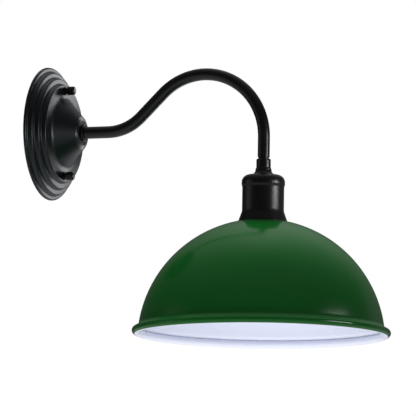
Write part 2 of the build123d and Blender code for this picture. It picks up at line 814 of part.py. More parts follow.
def shade_ring():
    low = ring_top - ring_height
    lip = ring_top - ring_lip_height
    corners = [(ring_bore, low), (ring_lip_radius, low), (ring_lip_radius, lip)]
    corners += [(ring_radius, lip), (ring_radius, ring_top), (ring_bore, ring_top)]
    edge = crease_round / 2
    ring = spun(outline(corners, [0, crease_round, crease_round, edge, edge, 0]))
    notch = Pos(ring_lip_radius + ring_notch_radius / 2, 0, 0) * disc(ring_notch_radius, low - 1, lip)
    for turn in range(ring_notch_count):
        ring -= Rot(0, 0, turn * 360 / ring_notch_count) * notch
    return at_lamp(ring)


# ---- Wires ----

def round_wire(points, rounds):
    path = FilletPolyline(*points, radius=rounds)
    start = Plane(origin=path @ 0, z_dir=path % 0)
    return sweep(start * Circle(wire_radius), path=path)


def arm_wire(side, way):
    """From a way of the terminal block, through the arm, to a terminal of the lampholder."""
    y = side * wire_offset
    z = way_height(way)
    root_corner, arch_corner, root_radius = arm_corners()
    fan_start = cap_inner_top + wire_stub
    fan_end = terminal_top + wire_fan_rise
    entry = side * terminal_offset
    points = [(way_axis, wire_entry, z), (way_axis, y, z), (wire_lead, y, 0), (root_corner, y, 0)]
    points += [(arm_reach, y, arch_corner), (arm_reach, y, fan_start)]
    points += [(arm_reach, entry, fan_end), (arm_reach, entry, terminal_top - wire_end_depth)]
    rounds = [wire_turn, wire_lead_turn, root_radius, arch_radius, wire_fan_turn, wire_end_turn]
    return round_wire(points, rounds)


def earth_wire(barrel_axis):
    start = barrel_start + wire_stub + thread_gap
    barrel_mouth = barrel_start + barrel_length
    points = [(way_axis, wire_entry, earth_height), (way_axis, block_start - wire_stub, earth_height)]
    points += [(barrel_axis, barrel_mouth + wire_stub, earth_height), (barrel_axis, start, earth_height)]
    return round_wire(points, [wire_end_turn, wire_end_turn])


# ---- All the pieces ----

def make_all():
    os.makedirs("parts", exist_ok=True)
    write("canopy", wall_plate())
    write("wall_bracket", wall_strap())
    write("canopy_studs", stud(stud_height), stud(-stud_height))
    write("stud_locknuts", stud_nut(stud_height), stud_nut(-stud_height))
    write("upper_captive_washer", captive_collar(stud_height))
    write("lower_captive_washer", captive_collar(-stud_height))
    write("upper_cap_nut", cap_nut(stud_height))
    write("lower_cap_nut", cap_nut(-stud_height))

    write("terminal_block", terminal_block())
    write("terminal_inserts", *[block_insert(way) for way in (-1, 0, 1)])
    write("terminal_screws", *[clamp_screw(y, z) for y, z in clamp_places()])
    write("block_screw", block_screw())
    washer, eye, screw, barrel_axis = earth_stack()
    write("earth_washer", washer)
    write("earth_ring_terminal", eye)
    write("earth_screw", screw)

    write("arm_tube", bent_tube())
    write("root_collar", root_collar())
    root_nipple = tube_section(nipple_bore, nipple_radius, root_nipple_start, root_nipple_end)
    write("root_nipple", spun_out(root_nipple))
    turn_out = Rot(0, 90, 0)
    write("root_locknut", turn_out * lock_nut(root_nut_back))
    write("root_lock_washer", turn_out * lock_washer(root_nut_back + locknut_height))
    write("wire_bush", wire_bush())

    write("end_coupler", end_coupler())
    end_nipple = tube_section(nipple_bore, nipple_radius, end_nipple_end, tube_end + nipple_grip)
    write("end_nipple", at_lamp(spun(end_nipple)))
    write("holder_cup", holder_cup())
    write("cup_lock_washer", at_lamp(lock_washer(cup_inner_top - lock_washer_height)))
    write("cup_locknut", at_lamp(lock_nut(cup_nut_end)))

    write("lampholder_cap", lampholder_cap())
    write("holder_grub_screw", grub_screw())
    write("lampholder_insert", ceramic_insert())
    write("insert_screws", insert_screw(1), insert_screw(-1))
    write("holder_terminals", terminal_clamp(1), terminal_clamp(-1))
    write("holder_terminal_screws", terminal_screw(1), terminal_screw(-1))
    write("contact_strip", contact_strip())
    write("centre_contact", contact_tongue())
    write("screw_shell", screw_shell())
    write("lampholder_skirt", lampholder_skirt())

    write("shade", shade())
    write("shade_ring", shade_ring())

    write("live_wire", arm_wire(1, live_way))
    write("neutral_wire", arm_wire(-1, neutral_way))
    write("earth_wire", earth_wire(barrel_axis))


make_all()
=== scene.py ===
"""Gooseneck wall sconce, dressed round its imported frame. Lengths are in metres, +X is out of the wall."""

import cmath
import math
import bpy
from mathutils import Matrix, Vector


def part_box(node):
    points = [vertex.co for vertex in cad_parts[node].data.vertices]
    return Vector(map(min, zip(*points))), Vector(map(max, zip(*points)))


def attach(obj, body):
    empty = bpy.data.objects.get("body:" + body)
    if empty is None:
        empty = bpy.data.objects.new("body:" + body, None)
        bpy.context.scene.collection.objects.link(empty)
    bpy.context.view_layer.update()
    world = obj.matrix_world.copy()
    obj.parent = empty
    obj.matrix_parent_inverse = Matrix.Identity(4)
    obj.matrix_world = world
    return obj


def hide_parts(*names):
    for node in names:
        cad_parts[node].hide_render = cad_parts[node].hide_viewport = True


bl_info = {
    "name": "Gooseneck wall sconce",
    "version": (1, 0, 0),
    "blender": (4, 5, 0),
    "location": "3D View > Sidebar > Sconce",
    "description": "Finishes a wall light with a bent arm, a lampholder cup and a dome shade",
    "category": "Object",
}

import bmesh
import bpy
from mathutils import Matrix, Vector

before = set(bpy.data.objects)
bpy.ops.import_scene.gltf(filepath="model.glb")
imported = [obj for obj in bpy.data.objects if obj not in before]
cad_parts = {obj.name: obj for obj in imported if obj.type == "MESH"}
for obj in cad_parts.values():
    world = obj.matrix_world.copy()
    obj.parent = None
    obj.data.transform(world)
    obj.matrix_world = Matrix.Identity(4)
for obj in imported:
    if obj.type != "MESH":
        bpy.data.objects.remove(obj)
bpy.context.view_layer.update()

MM = 0.001
PER_MICRON = 1e6                 # micrometres in a metre
TURN = 2 * math.pi
ARC_STEP = math.radians(7.5)     # the longest step along a small round
PATH_STEP = math.radians(2)      # the longest step along a bent tube or wire
ARC_LEAST, PATH_LEAST = 2, 4     # the fewest steps along each
STRAIGHT = 1e-4                  # a corner that turns by less, in radians, isn't one
SHARP_ANGLE = math.radians(32)   # edges steeper than this stay crisp
EDGE = 0.3 * MM                  # the least round on an edge
DOUBLE = 2e-7                    # vertices nearer than this are one
SLIVER = 1e-8                    # edges shorter than this go
THREAD_START = -1.0              # one start, wound to the right
THREAD_CUT = 0.3                 # depth of a small thread as a part of its pitch
THREAD_CORE = 0.8                # only what is outside this part of its radius is cut
SENSOR = 36                      # width of the camera's sensor in millimetres
WHITE = (1.0, 1.0, 1.0, 1.0)

# Faces round a turned piece, from the plate and the shade down to the loose collars, and round a bar.
WIDE, EVEN, NARROW, TINY = 256, 192, 128, 96
TUBE_SIDES, WIRE_SIDES = 64, 20
# Faces round the head for one groove, round the ring for one grip, and round a large and a small thread.
GROOVE_FACES, GRIP_FACES, THREAD_FACES, SMALL_THREAD_FACES = 12, 16, 144, 36
# Rows of faces along a head, along the ring, and along one turn of the skirt's, the lamp's and a small thread.
HEAD_ROWS, RING_ROWS, SKIRT_ROWS, LAMP_ROWS, SMALL_THREAD_ROWS = 24, 16, 8, 14, 7
# Steps along the shade's outline: over its seat, its dome, its flare and its rolled rim.
SEAT_STEPS, DOME_STEPS, FLARE_STEPS, RIM_STEPS = 3, 64, 10, 60

lamp_low, lamp_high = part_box("shade")
LAMP_X = (lamp_low.x + lamp_high.x) / 2
AT_LAMP = Matrix.Translation((LAMP_X, 0, 0))
OUT_OF_WALL = Matrix(((0, 0, 1, 0), (1, 0, 0, 0), (0, 1, 0, 0), (0, 0, 0, 1)))


# ---- Sizes and colours that a user may change ----

def length(name, millimetres, text):
    return bpy.props.FloatProperty(name=name, description=text, default=millimetres * MM, min=0, precision=5,
                                   unit="LENGTH")


def lengths(name, millimetres, text):
    return bpy.props.FloatVectorProperty(name=name, description=text, size=len(millimetres),
                                         default=[value * MM for value in millimetres], precision=5,
                                         unit="LENGTH")


def angle(name, degrees, text):
    return bpy.props.FloatProperty(name=name, description=text, default=math.radians(degrees), subtype="ANGLE")


def count(name, number, text):
    return bpy.props.IntProperty(name=name, description=text, default=number, min=1)


def colour(name, value, text):
    return bpy.props.FloatVectorProperty(name=name, description=text, size=3, default=value, min=0, max=1,
                                         subtype="COLOR")


class PlateSizes(bpy.types.PropertyGroup):
    sheet: length("Sheet", 1.2, "Thickness of the spun steel")
    rim_radius: length("Rim radius", 77.5, "Radius of the plate on the wall")
    rim_height: length("Rim height", 3.0, "Height of the plate's upright rim")
    step_radii: lengths("Step radii", (71.0, 64.0, 56.5), "Outer radius of each step")
    step_heights: lengths("Step heights", (8.4, 14.0, 19.5), "How far each step stands out of the wall")
    step_slope: length("Step slope", 0.4, "Rise of each ledge towards the next step")
    riser_lean: length("Riser lean", 1.5, "How far a step's riser leans inwards")
    step_round: length("Step round", 2.4, "Round on the outer edge of a step")
    crease_round: length("Crease round", 1.4, "Round in the crease between two steps")
    cone_base: length("Cone base", 41.5, "Radius where the cone starts")
    cone_round: length("Cone round", 10.0, "Round at the cone's base")
    nose_radius: length("Nose radius", 19.2, "Radius at the cone's small end")
    nose_round: length("Nose round", 5.0, "Round at the edge of its flat end")
    nose_rise: length("Nose rise", 2.2, "Depth of the cone's domed end")
    nose_face: length("Nose face", 15.0, "Radius of the flat end of the cone")
    depth: length("Depth", 43.2, "How far the cone stands out of the wall")
    bore: length("Bore", 5.05, "Radius of the hole for the arm's nipple")


class NutSizes(bpy.types.PropertyGroup):
    spacing: length("Spacing", 100.0, "Distance between the two nuts")
    collar_base: length("Collar base", 19.8, "Where the loose collar starts")
    collar_height: length("Collar height", 1.3, "Height of the loose collar")
    collar_radius: length("Collar radius", 5.0, "Radius of the loose collar")
    base: length("Nut base", 21.2, "Where the nut starts")
    waist_radius: length("Waist radius", 3.8, "Radius of the nut's waist")
    waist_length: length("Waist length", 1.5, "Length of the nut's waist")
    radius: length("Nut radius", 5.0, "Radius over the knurl")
    height: length("Nut height", 9.2, "Height of the knurled head")
    dome: length("Dome", 2.2, "Round on the nut's end")
    foot_round: length("Foot round", 0.8, "Round where the head starts")
    bore: length("Bore", 2.55, "Radius of the nut's hole")
    bore_end: length("Bore end", 29.4, "Where the blind hole ends")
    grooves: count("Grooves", 18, "Grooves round the head")
    groove_depth: length("Groove depth", 0.35, "Depth of a groove")


class ArmSizes(bpy.types.PropertyGroup):
    radius: length("Tube radius", 7.0, "Radius of the tube")
    wall: length("Tube wall", 1.95, "Thickness of the tube's wall")
    start: length("Start", 45.0, "Where the tube leaves the wall plate")
    arch_top: length("Arch top", 63.8, "Height of the centre line at the top of the arch")
    arch_radius: length("Arch radius", 75.5, "Radius of the arch")
    root_radius: length("Root bend radius", 59.984, "Radius of the bend at the wall")
    rise: angle("Rise", 44.0, "Slope of the tube between its bends")
    drop: length("Drop", 35.2, "How far below the wall plate's centre the tube ends")
    collar_radius: length("Collar radius", 10.0, "Radius of the collar at the wall plate")
    collar_height: length("Collar height", 2.8, "Height of that collar")
    collar_seat: length("Collar seat", 1.0, "Depth of the seat for the tube")
    collar_gap: length("Collar gap", 0.05, "Clearance between tube and seat")
    collar_round: length("Collar round", 0.8, "Round on the collar's edge")


class CupSizes(bpy.types.PropertyGroup):
    sheet: length("Sheet", 1.1, "Thickness of the spun steel")
    neck_radius: length("Neck radius", 9.3, "Radius of the neck")
    neck_length: length("Neck length", 8.0, "Length of the neck")
    neck_round: length("Neck round", 1.6, "Round at the top of the neck")
    flare: length("Neck flare", 6.0, "Round between neck and shoulder")
    bead_radius: length("Bead radius", 25.2, "Radius of the bead under the shoulder")
    shoulder_round: length("Shoulder round", 9.0, "Round of the shoulder")
    bead_height: length("Bead height", 11.6, "Height from shoulder to groove")
    bead_round: length("Bead round", 6.0, "Round at the foot of the bead")
    groove_height: length("Groove height", 2.8, "Height of the groove")
    groove_round: length("Groove round", 6.0, "Round in the groove")
    wall_radius: length("Wall radius", 24.3, "Radius of the wall")
    wall_length: length("Wall length", 28.3, "Length of the straight wall")
    skirt_radius: length("Skirt radius", 28.7, "Radius at the flared foot")
    skirt_round: length("Skirt round", 14.0, "Round of the flare")
    skirt_drop: length("Skirt drop", 11.9, "From the straight wall down to the flared edge")
    coupler_radius: length("Coupler radius", 8.4, "Radius of the collar above the cup")
    coupler_neck: length("Coupler neck", 6.3, "Radius of its neck at the tube")
    coupler_neck_length: length("Coupler neck length", 2.3, "Length of that neck")
    coupler_length: length("Coupler length", 12.8, "Length of the collar with its neck")
    coupler_round: length("Coupler round", 1.4, "Round on its upper edge")


class ShadeSizes(bpy.types.PropertyGroup):
    sheet: length("Sheet", 1.2, "Thickness of the enamelled steel")
    dome_radius: length("Dome radius", 143.8, "Radius of the dome")
    seat_depth: length("Seat depth", 110.9, "How far below the wall plate's centre the shade's seat is")
    foot_lift: length("Foot lift", 22.2, "From the dome's centre up to where it runs into the flare")
    flare: length("Flare", 6.5, "Radius of the flare above the rim")
    flare_end: angle("Flare end", 75.0, "Slope of the flare's end, outwards from straight down")
    bead: length("Bead", 4.5, "Radius of the rolled rim")
    curl_gap: length("Curl gap", 0.5, "From the end of the rolled rim to the flare above it")
    seat_radius: length("Seat radius", 30.0, "Radius of the flat seat under the cup")
    neck_radius: length("Neck radius", 20.5, "Radius of the hole for the lampholder")
    green_edge: angle("Green edge", 18.0, "Where the green ends on the rolled rim, outwards from straight down")
    edge_blur: angle("Edge blur", 24.0, "How soft the edge between green and white is, along the rim's round")


class HolderSizes(bpy.types.PropertyGroup):
    radius: length("Radius", 19.8, "Radius over the outer thread")
    thread_depth: length("Thread depth", 0.55, "Depth of the outer thread")
    thread_pitch: length("Thread pitch", 2.0, "Pitch of the outer thread")
    spigot_top: length("Spigot top", 79.1, "Depth of the upper end, inside the cap")
    spigot_radius: length("Spigot radius", 17.3, "Radius of the part inside the cap")
    spigot_bore: length("Spigot bore", 15.9, "Bore of the part inside the cap")
    skirt_top: length("Skirt top", 85.15, "Depth of the skirt's shoulder")
    skirt_end: length("Skirt end", 121.0, "Depth of the mouth")
    skirt_bore: length("Skirt bore", 17.0, "Bore round the screw shell")
    ledge_radius: length("Ledge radius", 14.9, "Bore of the ledge under the ceramic")
    ledge_top: length("Ledge top", 88.1, "Depth of the ledge's upper face")
    ledge_height: length("Ledge height", 2.1, "Height of the ledge")
    mouth_radius: length("Mouth radius", 14.4, "Radius of the mouth")
    mouth_height: length("Mouth height", 2.5, "Height of the mouth's wall")
    shell_radius: length("Shell radius", 13.3, "Largest radius inside the screw shell")
    shell_neck: length("Shell neck", 14.4, "Outer radius of the shell's upper end")
    shell_sheet: length("Shell sheet", 0.4, "Thickness of the screw shell")
    shell_depth: length("Shell thread depth", 1.05, "Depth of the lamp thread")
    shell_pitch: length("Shell pitch", 3.62, "Pitch of the lamp thread")
    shell_top: length("Shell top", 95.2, "Depth of the top of the lamp thread")
    shell_end: length("Shell end", 117.0, "Depth of the end of the lamp thread")
    leg_width: length("Leg width", 4.0, "Width of the shell's leg and of its tab")
    leg_sheet: length("Leg sheet", 0.5, "Thickness of the leg")
    leg_top: length("Leg top", 75.4, "Depth of the tab under the neutral terminal")
    tab_end: length("Tab end", 6.0, "How near the lamp's axis the tab ends")


class RingSizes(bpy.types.PropertyGroup):
    top: length("Top", 112.4, "Depth of the ring's upper face")
    height: length("Height", 5.5, "Height of the ring")
    bore: length("Bore", 19.86, "Radius of the ring's hole")
    lip_radius: length("Lip radius", 26.5, "Radius of the lip that carries the shade")
    lip_height: length("Lip height", 1.6, "Height of the lip")
    grip_radius: length("Grip radius", 23.2, "Radius over the grips")
    grip_depth: length("Grip depth", 0.6, "Depth of the notches between the grips")
    grips: count("Grips", 16, "Grips round the ring")


class StudSizes(bpy.types.PropertyGroup):
    radius: length("Radius", 2.5, "Radius over the thread")
    pitch: length("Pitch", 0.8, "Pitch of the thread")
    head_radius: length("Head radius", 4.6, "Radius of the head")
    head_base: length("Head base", 3.2, "Where the head starts")
    head_end: length("Head end", 6.0, "Where the head meets the strap")
    end: length("End", 28.5, "Where the stud ends")


class NippleSizes(bpy.types.PropertyGroup):
    radius: length("Radius", 5.0, "Radius over the thread")
    bore: length("Bore", 3.25, "Radius of the bore for the wires")
    pitch: length("Pitch", 1.0, "Pitch of the thread")


class WireSizes(bpy.types.PropertyGroup):
    radius: length("Radius", 1.1, "Radius over the insulation")
    spacing: length("Spacing", 2.6, "Distance between the two wires in the arm")
    way_face: length("Way", 6.05, "How far the ways of the terminal block are from the wall")
    way_entry: length("Way entry", 20.0, "Where the wires end in the terminal block")
    way_heights: lengths("Way heights", (8.0, -2.0, -12.0), "Heights of the live, neutral and earth ways")
    lead: length("Lead", 24.0, "Where the wires reach the middle of the cone")
    fan_top: length("Fan top", 62.5, "Depth at which the two wires part")
    fan_end: length("Fan end", 66.9, "Depth at which they are over their terminals")
    end: length("End", 72.3, "Depth of their ends")
    terminal: length("Terminal", 9.0, "Distance of a terminal from the lamp's axis")
    turns: lengths("Turns", (10.0, 20.0, 5.0, 4.0), "Radii of the turns at the block, in the cone and at the ends")
    block_face: length("Block face", 13.0, "Where the earth wire starts to turn, in front of the block")
    eye_turn: length("Eye turn", 10.0, "Where it is in line with the earth terminal's barrel")
    eye_face: length("Eye", 4.7, "How far that barrel is from the wall")
    eye_entry: length("Eye entry", 5.65, "Where the earth wire ends in the barrel")


class Colours(bpy.types.PropertyGroup):
    black: colour("Black coating", (0.0028, 0.0031, 0.0038), "Satin coating of the plate, arm and cup")
    green: colour("Green enamel", (0.0042, 0.0750, 0.0100), "Outside of the shade")
    white: colour("White enamel", (0.77, 0.80, 0.91), "Inside of the shade")
    zinc: colour("Zinc", (0.56, 0.57, 0.60), "Plated steel")
    brass: colour("Brass", (0.78, 0.56, 0.25), "Contacts and terminals")
    ceramic: colour("Ceramic", (0.80, 0.77, 0.70), "Body inside the lampholder")
    plastic: colour("Black plastic", (0.012, 0.012, 0.013), "Lampholder and ring")
    block: colour("Terminal block", (0.78, 0.78, 0.72), "Natural plastic")
    live: colour("Live wire", (0.13, 0.045, 0.018), "Brown insulation")
    neutral: colour("Neutral wire", (0.015, 0.10, 0.42), "Blue insulation")
    earth: colour("Earth wire", (0.10, 0.30, 0.04), "Green of the striped insulation")
    stripe: colour("Earth stripe", (0.80, 0.62, 0.03), "Yellow of the striped insulation")
    floor: colour("Floor", (0.86, 0.86, 0.86), "Floor under the light")


class StageSettings(bpy.types.PropertyGroup):
    azimuth: angle("Azimuth", 22.9, "Camera's turn round the light, from straight along +Y")
    elevation: angle("Elevation", -6.26, "Camera's height as an angle")
    roll: angle("Roll", 0.79, "Camera's turn about its own line of sight")
    distance: length("Distance", 20000.0, "From the camera to the aim point")
    lens: bpy.props.FloatProperty(name="Lens", description="Focal length in millimetres", default=1491.6)
    aim: bpy.props.FloatVectorProperty(name="Aim", description="Point in the middle of the picture", size=3,
                                       default=(0.20164, 0.0005, -0.09255), subtype="XYZ", unit="LENGTH")
    floor_depth: length("Floor depth", 2600.0, "How far the floor is below the wall plate's centre")
    floor_half: length("Floor half", 12000.0, "Half the side of the floor")
    room_light: bpy.props.FloatProperty(name="Room light", description="Strength of the even light", default=0.42)


GROUPS = {
    "sconce_plate": PlateSizes, "sconce_nuts": NutSizes, "sconce_arm": ArmSizes, "sconce_cup": CupSizes,
    "sconce_shade": ShadeSizes, "sconce_holder": HolderSizes, "sconce_ring": RingSizes,
    "sconce_studs": StudSizes, "sconce_nipples": NippleSizes, "sconce_wires": WireSizes,
    "sconce_colours": Colours, "sconce_stage": StageSettings,
}


# ---- Node graphs ----

class Term:
    """A value that varies over a surface, with the usual operators."""

    def __init__(self, graph, socket):
        self.graph = graph
        self.socket = socket

    def __add__(self, other):
        return self.graph.maths("ADD", self, other)

    def __sub__(self, other):
        return self.graph.maths("SUBTRACT", self, other)

    def __mul__(self, other):
        return self.graph.maths("MULTIPLY", self, other)

    def __rsub__(self, other):
        return self.graph.maths("SUBTRACT", other, self)

    __radd__ = __add__
    __rmul__ = __mul__


class Graph:
    """A node tree, the one way in which nodes are added to it, and short words for the usual ones."""

    def __init__(self, tree):
        self.tree = tree

    def node(self, kind, settings=None, inputs=None, output=0):
        made = self.tree.nodes.new(kind)
        for name, value in (settings or {}).items():
            setattr(made, name, value)
        for key, value in (inputs or {}).items():
            socket = self.find(made.inputs, key)
            if isinstance(value, Term):
                self.tree.links.new(value.socket, socket)
            else:
                socket.default_value = value
        return Term(self, self.find(made.outputs, output))

    @staticmethod
    def find(sockets, key):
        """The socket with this identifier, or else the one with this name or number."""
        for socket in sockets:
            if socket.identifier == key:
                return socket
        return sockets[key]

    def maths(self, operation, *values):
        return self.node("ShaderNodeMath", {"operation": operation}, dict(enumerate(values)))

    def vector(self, operation, inputs, output="Vector"):
        return self.node("ShaderNodeVectorMath", {"operation": operation}, inputs, output)

    def axis(self, vector, letter):
        return self.node("ShaderNodeSeparateXYZ", {}, {"Vector": vector}, letter)

    def rise(self, value, low, high, most=1.0):
        """Smoothly from nothing at the low value to the most at the high one."""
        return self.node("ShaderNodeMapRange", {"interpolation_type": "SMOOTHSTEP"},
                         {"Value": value, "From Min": low, "From Max": high, "To Min": 0.0, "To Max": most})

    def show(self, shader, kind):
        """Lead a shader to an output node of this kind."""
        output = self.tree.nodes.new(kind)
        self.tree.links.new(shader.socket, output.inputs["Surface"])


class Finish(Graph):
    """A material made of nodes round one principled shader."""

    def __init__(self, name):
        self.material = bpy.data.materials.new(name)
        self.material.use_nodes = True
        super().__init__(self.material.node_tree)
        self.tree.nodes.clear()
        self.place = self.node("ShaderNodeTexCoord", output="Object")

    def noise(self, scale, detail=2.0, roughness=0.5, stretch=None):
        where = self.place
        if stretch:
            where = self.node("ShaderNodeMapping", {}, {"Vector": where, "Scale": stretch})
        return self.node("ShaderNodeTexNoise", {"noise_dimensions": "3D"},
                         {"Vector": where, "Scale": scale, "Detail": detail, "Roughness": roughness})

    def between(self, noise, low, high):
        """Spread a noise, nearly all of which lies near its middle, over a range."""
        return self.node("ShaderNodeMapRange", {"clamp": True},
                         {"Value": noise, "From Min": NOISE_LOW, "From Max": NOISE_HIGH, "To Min": low,
                          "To Max": high})

    def mix(self, factor, first, second):
        return self.node("ShaderNodeMix", {"data_type": "RGBA"},
                         {"Factor_Float": factor, "A_Color": solid(first), "B_Color": solid(second)},
                         "Result_Color")

    def mottled(self, noise, tone, dark, light):
        """A colour that wanders with a noise from a darker to a lighter one."""
        return self.mix(self.between(noise, 0, 1), shaded(tone, dark), shaded(tone, light))

    def flecked(self, base, noise, tone, share, light):
        """A base colour with some share of a lighter tone where a noise is high."""
        return self.mix(self.between(noise, 0, share), base, shaded(tone, light))

    def bump(self, height, strength, relief, under=None):
        inputs = {"Height": height, "Strength": strength, "Distance": relief}
        if under:
            inputs["Normal"] = under
        return self.node("ShaderNodeBump", {}, inputs)

    def close(self, inputs):
        """Principled shader with its constants and its varying values, led to the output."""
        return self.end(self.node("ShaderNodeBsdfPrincipled", {}, inputs))

    def end(self, shader):
        self.show(shader, "ShaderNodeOutputMaterial")
        return self.material


def solid(value):
    """A colour with its alpha, or a link as it is."""
    if isinstance(value, Term):
        return value
    return (value[0], value[1], value[2], 1.0)


def shaded(value, amount):
    """A colour made darker or lighter."""
    return tuple(min(1.0, channel * amount) for channel in value[:3])


# ---- Finishes ----

# Height of the relief in metres: of the marks of spinning, of a grain, of a fine peel and of the enamel's waves.
SPUN_RELIEF, GRAIN_RELIEF, FINE_RELIEF, WAVE_RELIEF = 0.00004, 0.00005, 0.00006, 0.001
COAT_IOR, PLASTIC_IOR = 1.5, 1.47
NOISE_LOW, NOISE_HIGH = 0.3, 0.7   # nearly all of a noise lies between these


def spun_marks(finish, axis, centre):
    """Rings round an axis that stands this far from the wall."""
    place = finish.node("ShaderNodeMapping", {}, {"Vector": finish.place, "Location": (-centre, 0, 0)})
    return finish.node("ShaderNodeTexWave",
                       {"wave_type": "RINGS", "rings_direction": axis, "wave_profile": "SIN"},
                       {"Vector": place, "Scale": 420, "Distortion": 0.6, "Detail": 1.0, "Detail Scale": 4.0})


def black_coating(name, tone, roughness, spun=None, sheen=(1.0, 1.0, 1.0)):
    """Satin powder coating with a faint orange peel, and the marks of spinning on a turned piece."""
    finish = Finish(name)
    cloud = finish.noise(scale=26, detail=3)
    dust = finish.noise(scale=2600, detail=1, roughness=0.6)
    base = finish.mottled(cloud, tone, dark=0.85, light=1.15)
    base = finish.flecked(base, dust, tone, share=0.3, light=1.5)
    rough = finish.between(cloud, roughness - 0.03, roughness + 0.03) + dust * 0.03
    normal = finish.bump(finish.noise(scale=620, detail=1), strength=0.035, relief=FINE_RELIEF)
    if spun:
        axis, centre, strength = spun
        normal = finish.bump(spun_marks(finish, axis, centre), strength, SPUN_RELIEF, normal)
    return finish.close({"Metallic": 0.0, "IOR": COAT_IOR, "Specular IOR Level": 0.42,
                         "Specular Tint": solid(sheen),
                         "Base Color": base, "Roughness": rough, "Normal": normal})


def shade_enamel(name, green, white):
    """Vitreous enamel: green outside, white inside, told apart by the piece's own attribute."""
    finish = Finish(name)
    inside = finish.node("ShaderNodeAttribute", {"attribute_name": "inside"}, output="Fac")
    frayed = inside + (finish.noise(scale=520, detail=1) - 0.5) * 0.12
    edge = finish.rise(frayed, 0.42, 0.58)
    cloud = finish.noise(scale=9, detail=3)
    greens = finish.mottled(cloud, green, dark=0.94, light=1.06)
    greens = finish.flecked(greens, finish.noise(scale=1900, detail=1), green, share=0.12, light=1.4)
    whites = finish.mottled(cloud, white, dark=0.985, light=1.01)
    rough = finish.between(cloud, 0.16, 0.20) + edge * 0.10
    waves = finish.bump(finish.noise(scale=34, detail=1), strength=0.05, relief=WAVE_RELIEF)
    peel = finish.noise(scale=700, detail=1)
    normal = finish.bump(peel, strength=0.03, relief=FINE_RELIEF, under=waves)
    return finish.close({"Metallic": 0.0, "IOR": COAT_IOR, "Specular IOR Level": 0.27,
                         "Base Color": finish.mix(edge, greens, whites), "Roughness": rough, "Normal": normal})


def plated_metal(name, tone, roughness, stretch=(1, 1, 1), grain=900):
    """Plated or rolled metal with a fine grain and small stains."""
    finish = Finish(name)
    cloud = finish.noise(scale=60, detail=3)
    lines = finish.noise(grain, roughness=0.6, stretch=stretch)
    base = finish.mottled(cloud, tone, dark=0.82, light=1.0)
    base = finish.flecked(base, lines, tone, share=0.35, light=1.12)
    rough = finish.between(cloud, roughness - 0.06, roughness + 0.08) + lines * 0.06
    return finish.close({"IOR": COAT_IOR,
                         "Base Color": base, "Metallic": finish.between(cloud, 0.96, 1.0), "Roughness": rough,
                         "Normal": finish.bump(lines, strength=0.12, relief=GRAIN_RELIEF)})


def moulded(name, tone, roughness, grain=1600, strength=0.12):
    """Moulded plastic or fired clay with a fine grain."""
    finish = Finish(name)
    fine = finish.noise(grain, roughness=0.6)
    return finish.close({"Metallic": 0.0, "IOR": PLASTIC_IOR,
                         "Base Color": finish.mottled(finish.noise(scale=45), tone, dark=0.92, light=1.05),
                         "Roughness": finish.between(fine, roughness - 0.05, roughness + 0.05),
                         "Normal": finish.bump(fine, strength, FINE_RELIEF)})


def insulation(name, tone, stripe=None):
    """Smooth insulation, with a stripe along the wire where there is one."""
    finish = Finish(name)
    fine = finish.noise(scale=1500)
    base = finish.mottled(fine, tone, dark=0.9, light=1.08)
    if stripe:
        low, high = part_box("earth_wire")
        upper = finish.maths("GREATER_THAN", finish.axis(finish.place, "Z"), (low.z + high.z) / 2)
        base = finish.mix(upper, base, stripe)
    return finish.close({"Metallic": 0.0, "IOR": PLASTIC_IOR,
                         "Base Color": base, "Roughness": finish.between(fine, 0.36, 0.46),
                         "Normal": finish.bump(fine, strength=0.06, relief=GRAIN_RELIEF)})


FINISHES = {}

# Each lamp: where it is, what it faces, its width and height, its power, and whether gloss alone mirrors it.
MIDDLE = (0.20, 0.0, -0.09)
LAMPS = {
    "key": ((-0.2, 0.95, 2.75), MIDDLE, (1.6, 1.6), 140, False),
    "fill": ((2.4, -1.6, 0.6), MIDDLE, (1.6, 1.6), 5, False),
    "below": ((0.45, -0.9, -2.2), MIDDLE, (1.8, 1.8), 34, False),
    "cup_light": ((1.20, 0.04, -0.01), MIDDLE, (0.50, 0.12), 3.6, True),
    "upper_plate_light": ((0.135, 0.27, 0.14), (-0.135, 0.165, 0.17), (0.20, 0.16), 0.28, True),
    "lower_plate_light": ((0.135, 0.27, -0.09), (-0.135, 0.165, -0.06), (0.18, 0.14), 0.21, True),
}
DIM = 0.04   # what gloss mirrors everywhere
# Each band of the sky: the height where it starts, the height where it is full, and how much more it is there.
BANDS = [(0.40, 0.85, 0.12), (-0.10, -0.60, 0.60)]
# Each zone: towards where, how tight, how much more, and how far up and down it reaches.
ZONES = [
    ((-0.12, 0.29, 0.95), 12.0, 0.5, 2.0),
    ((-0.15, 0.70, 0.70), 10.0, 0.30, 2.0),
    ((0.10, 0.80, -0.60), 10.0, 0.5, 2.0),
    ((0.45, 0.88, 0.11), 20.0, 0.15, 2.0),
    ((-0.92, -0.39, 0.11), 24.0, 0.8, 0.45),
]


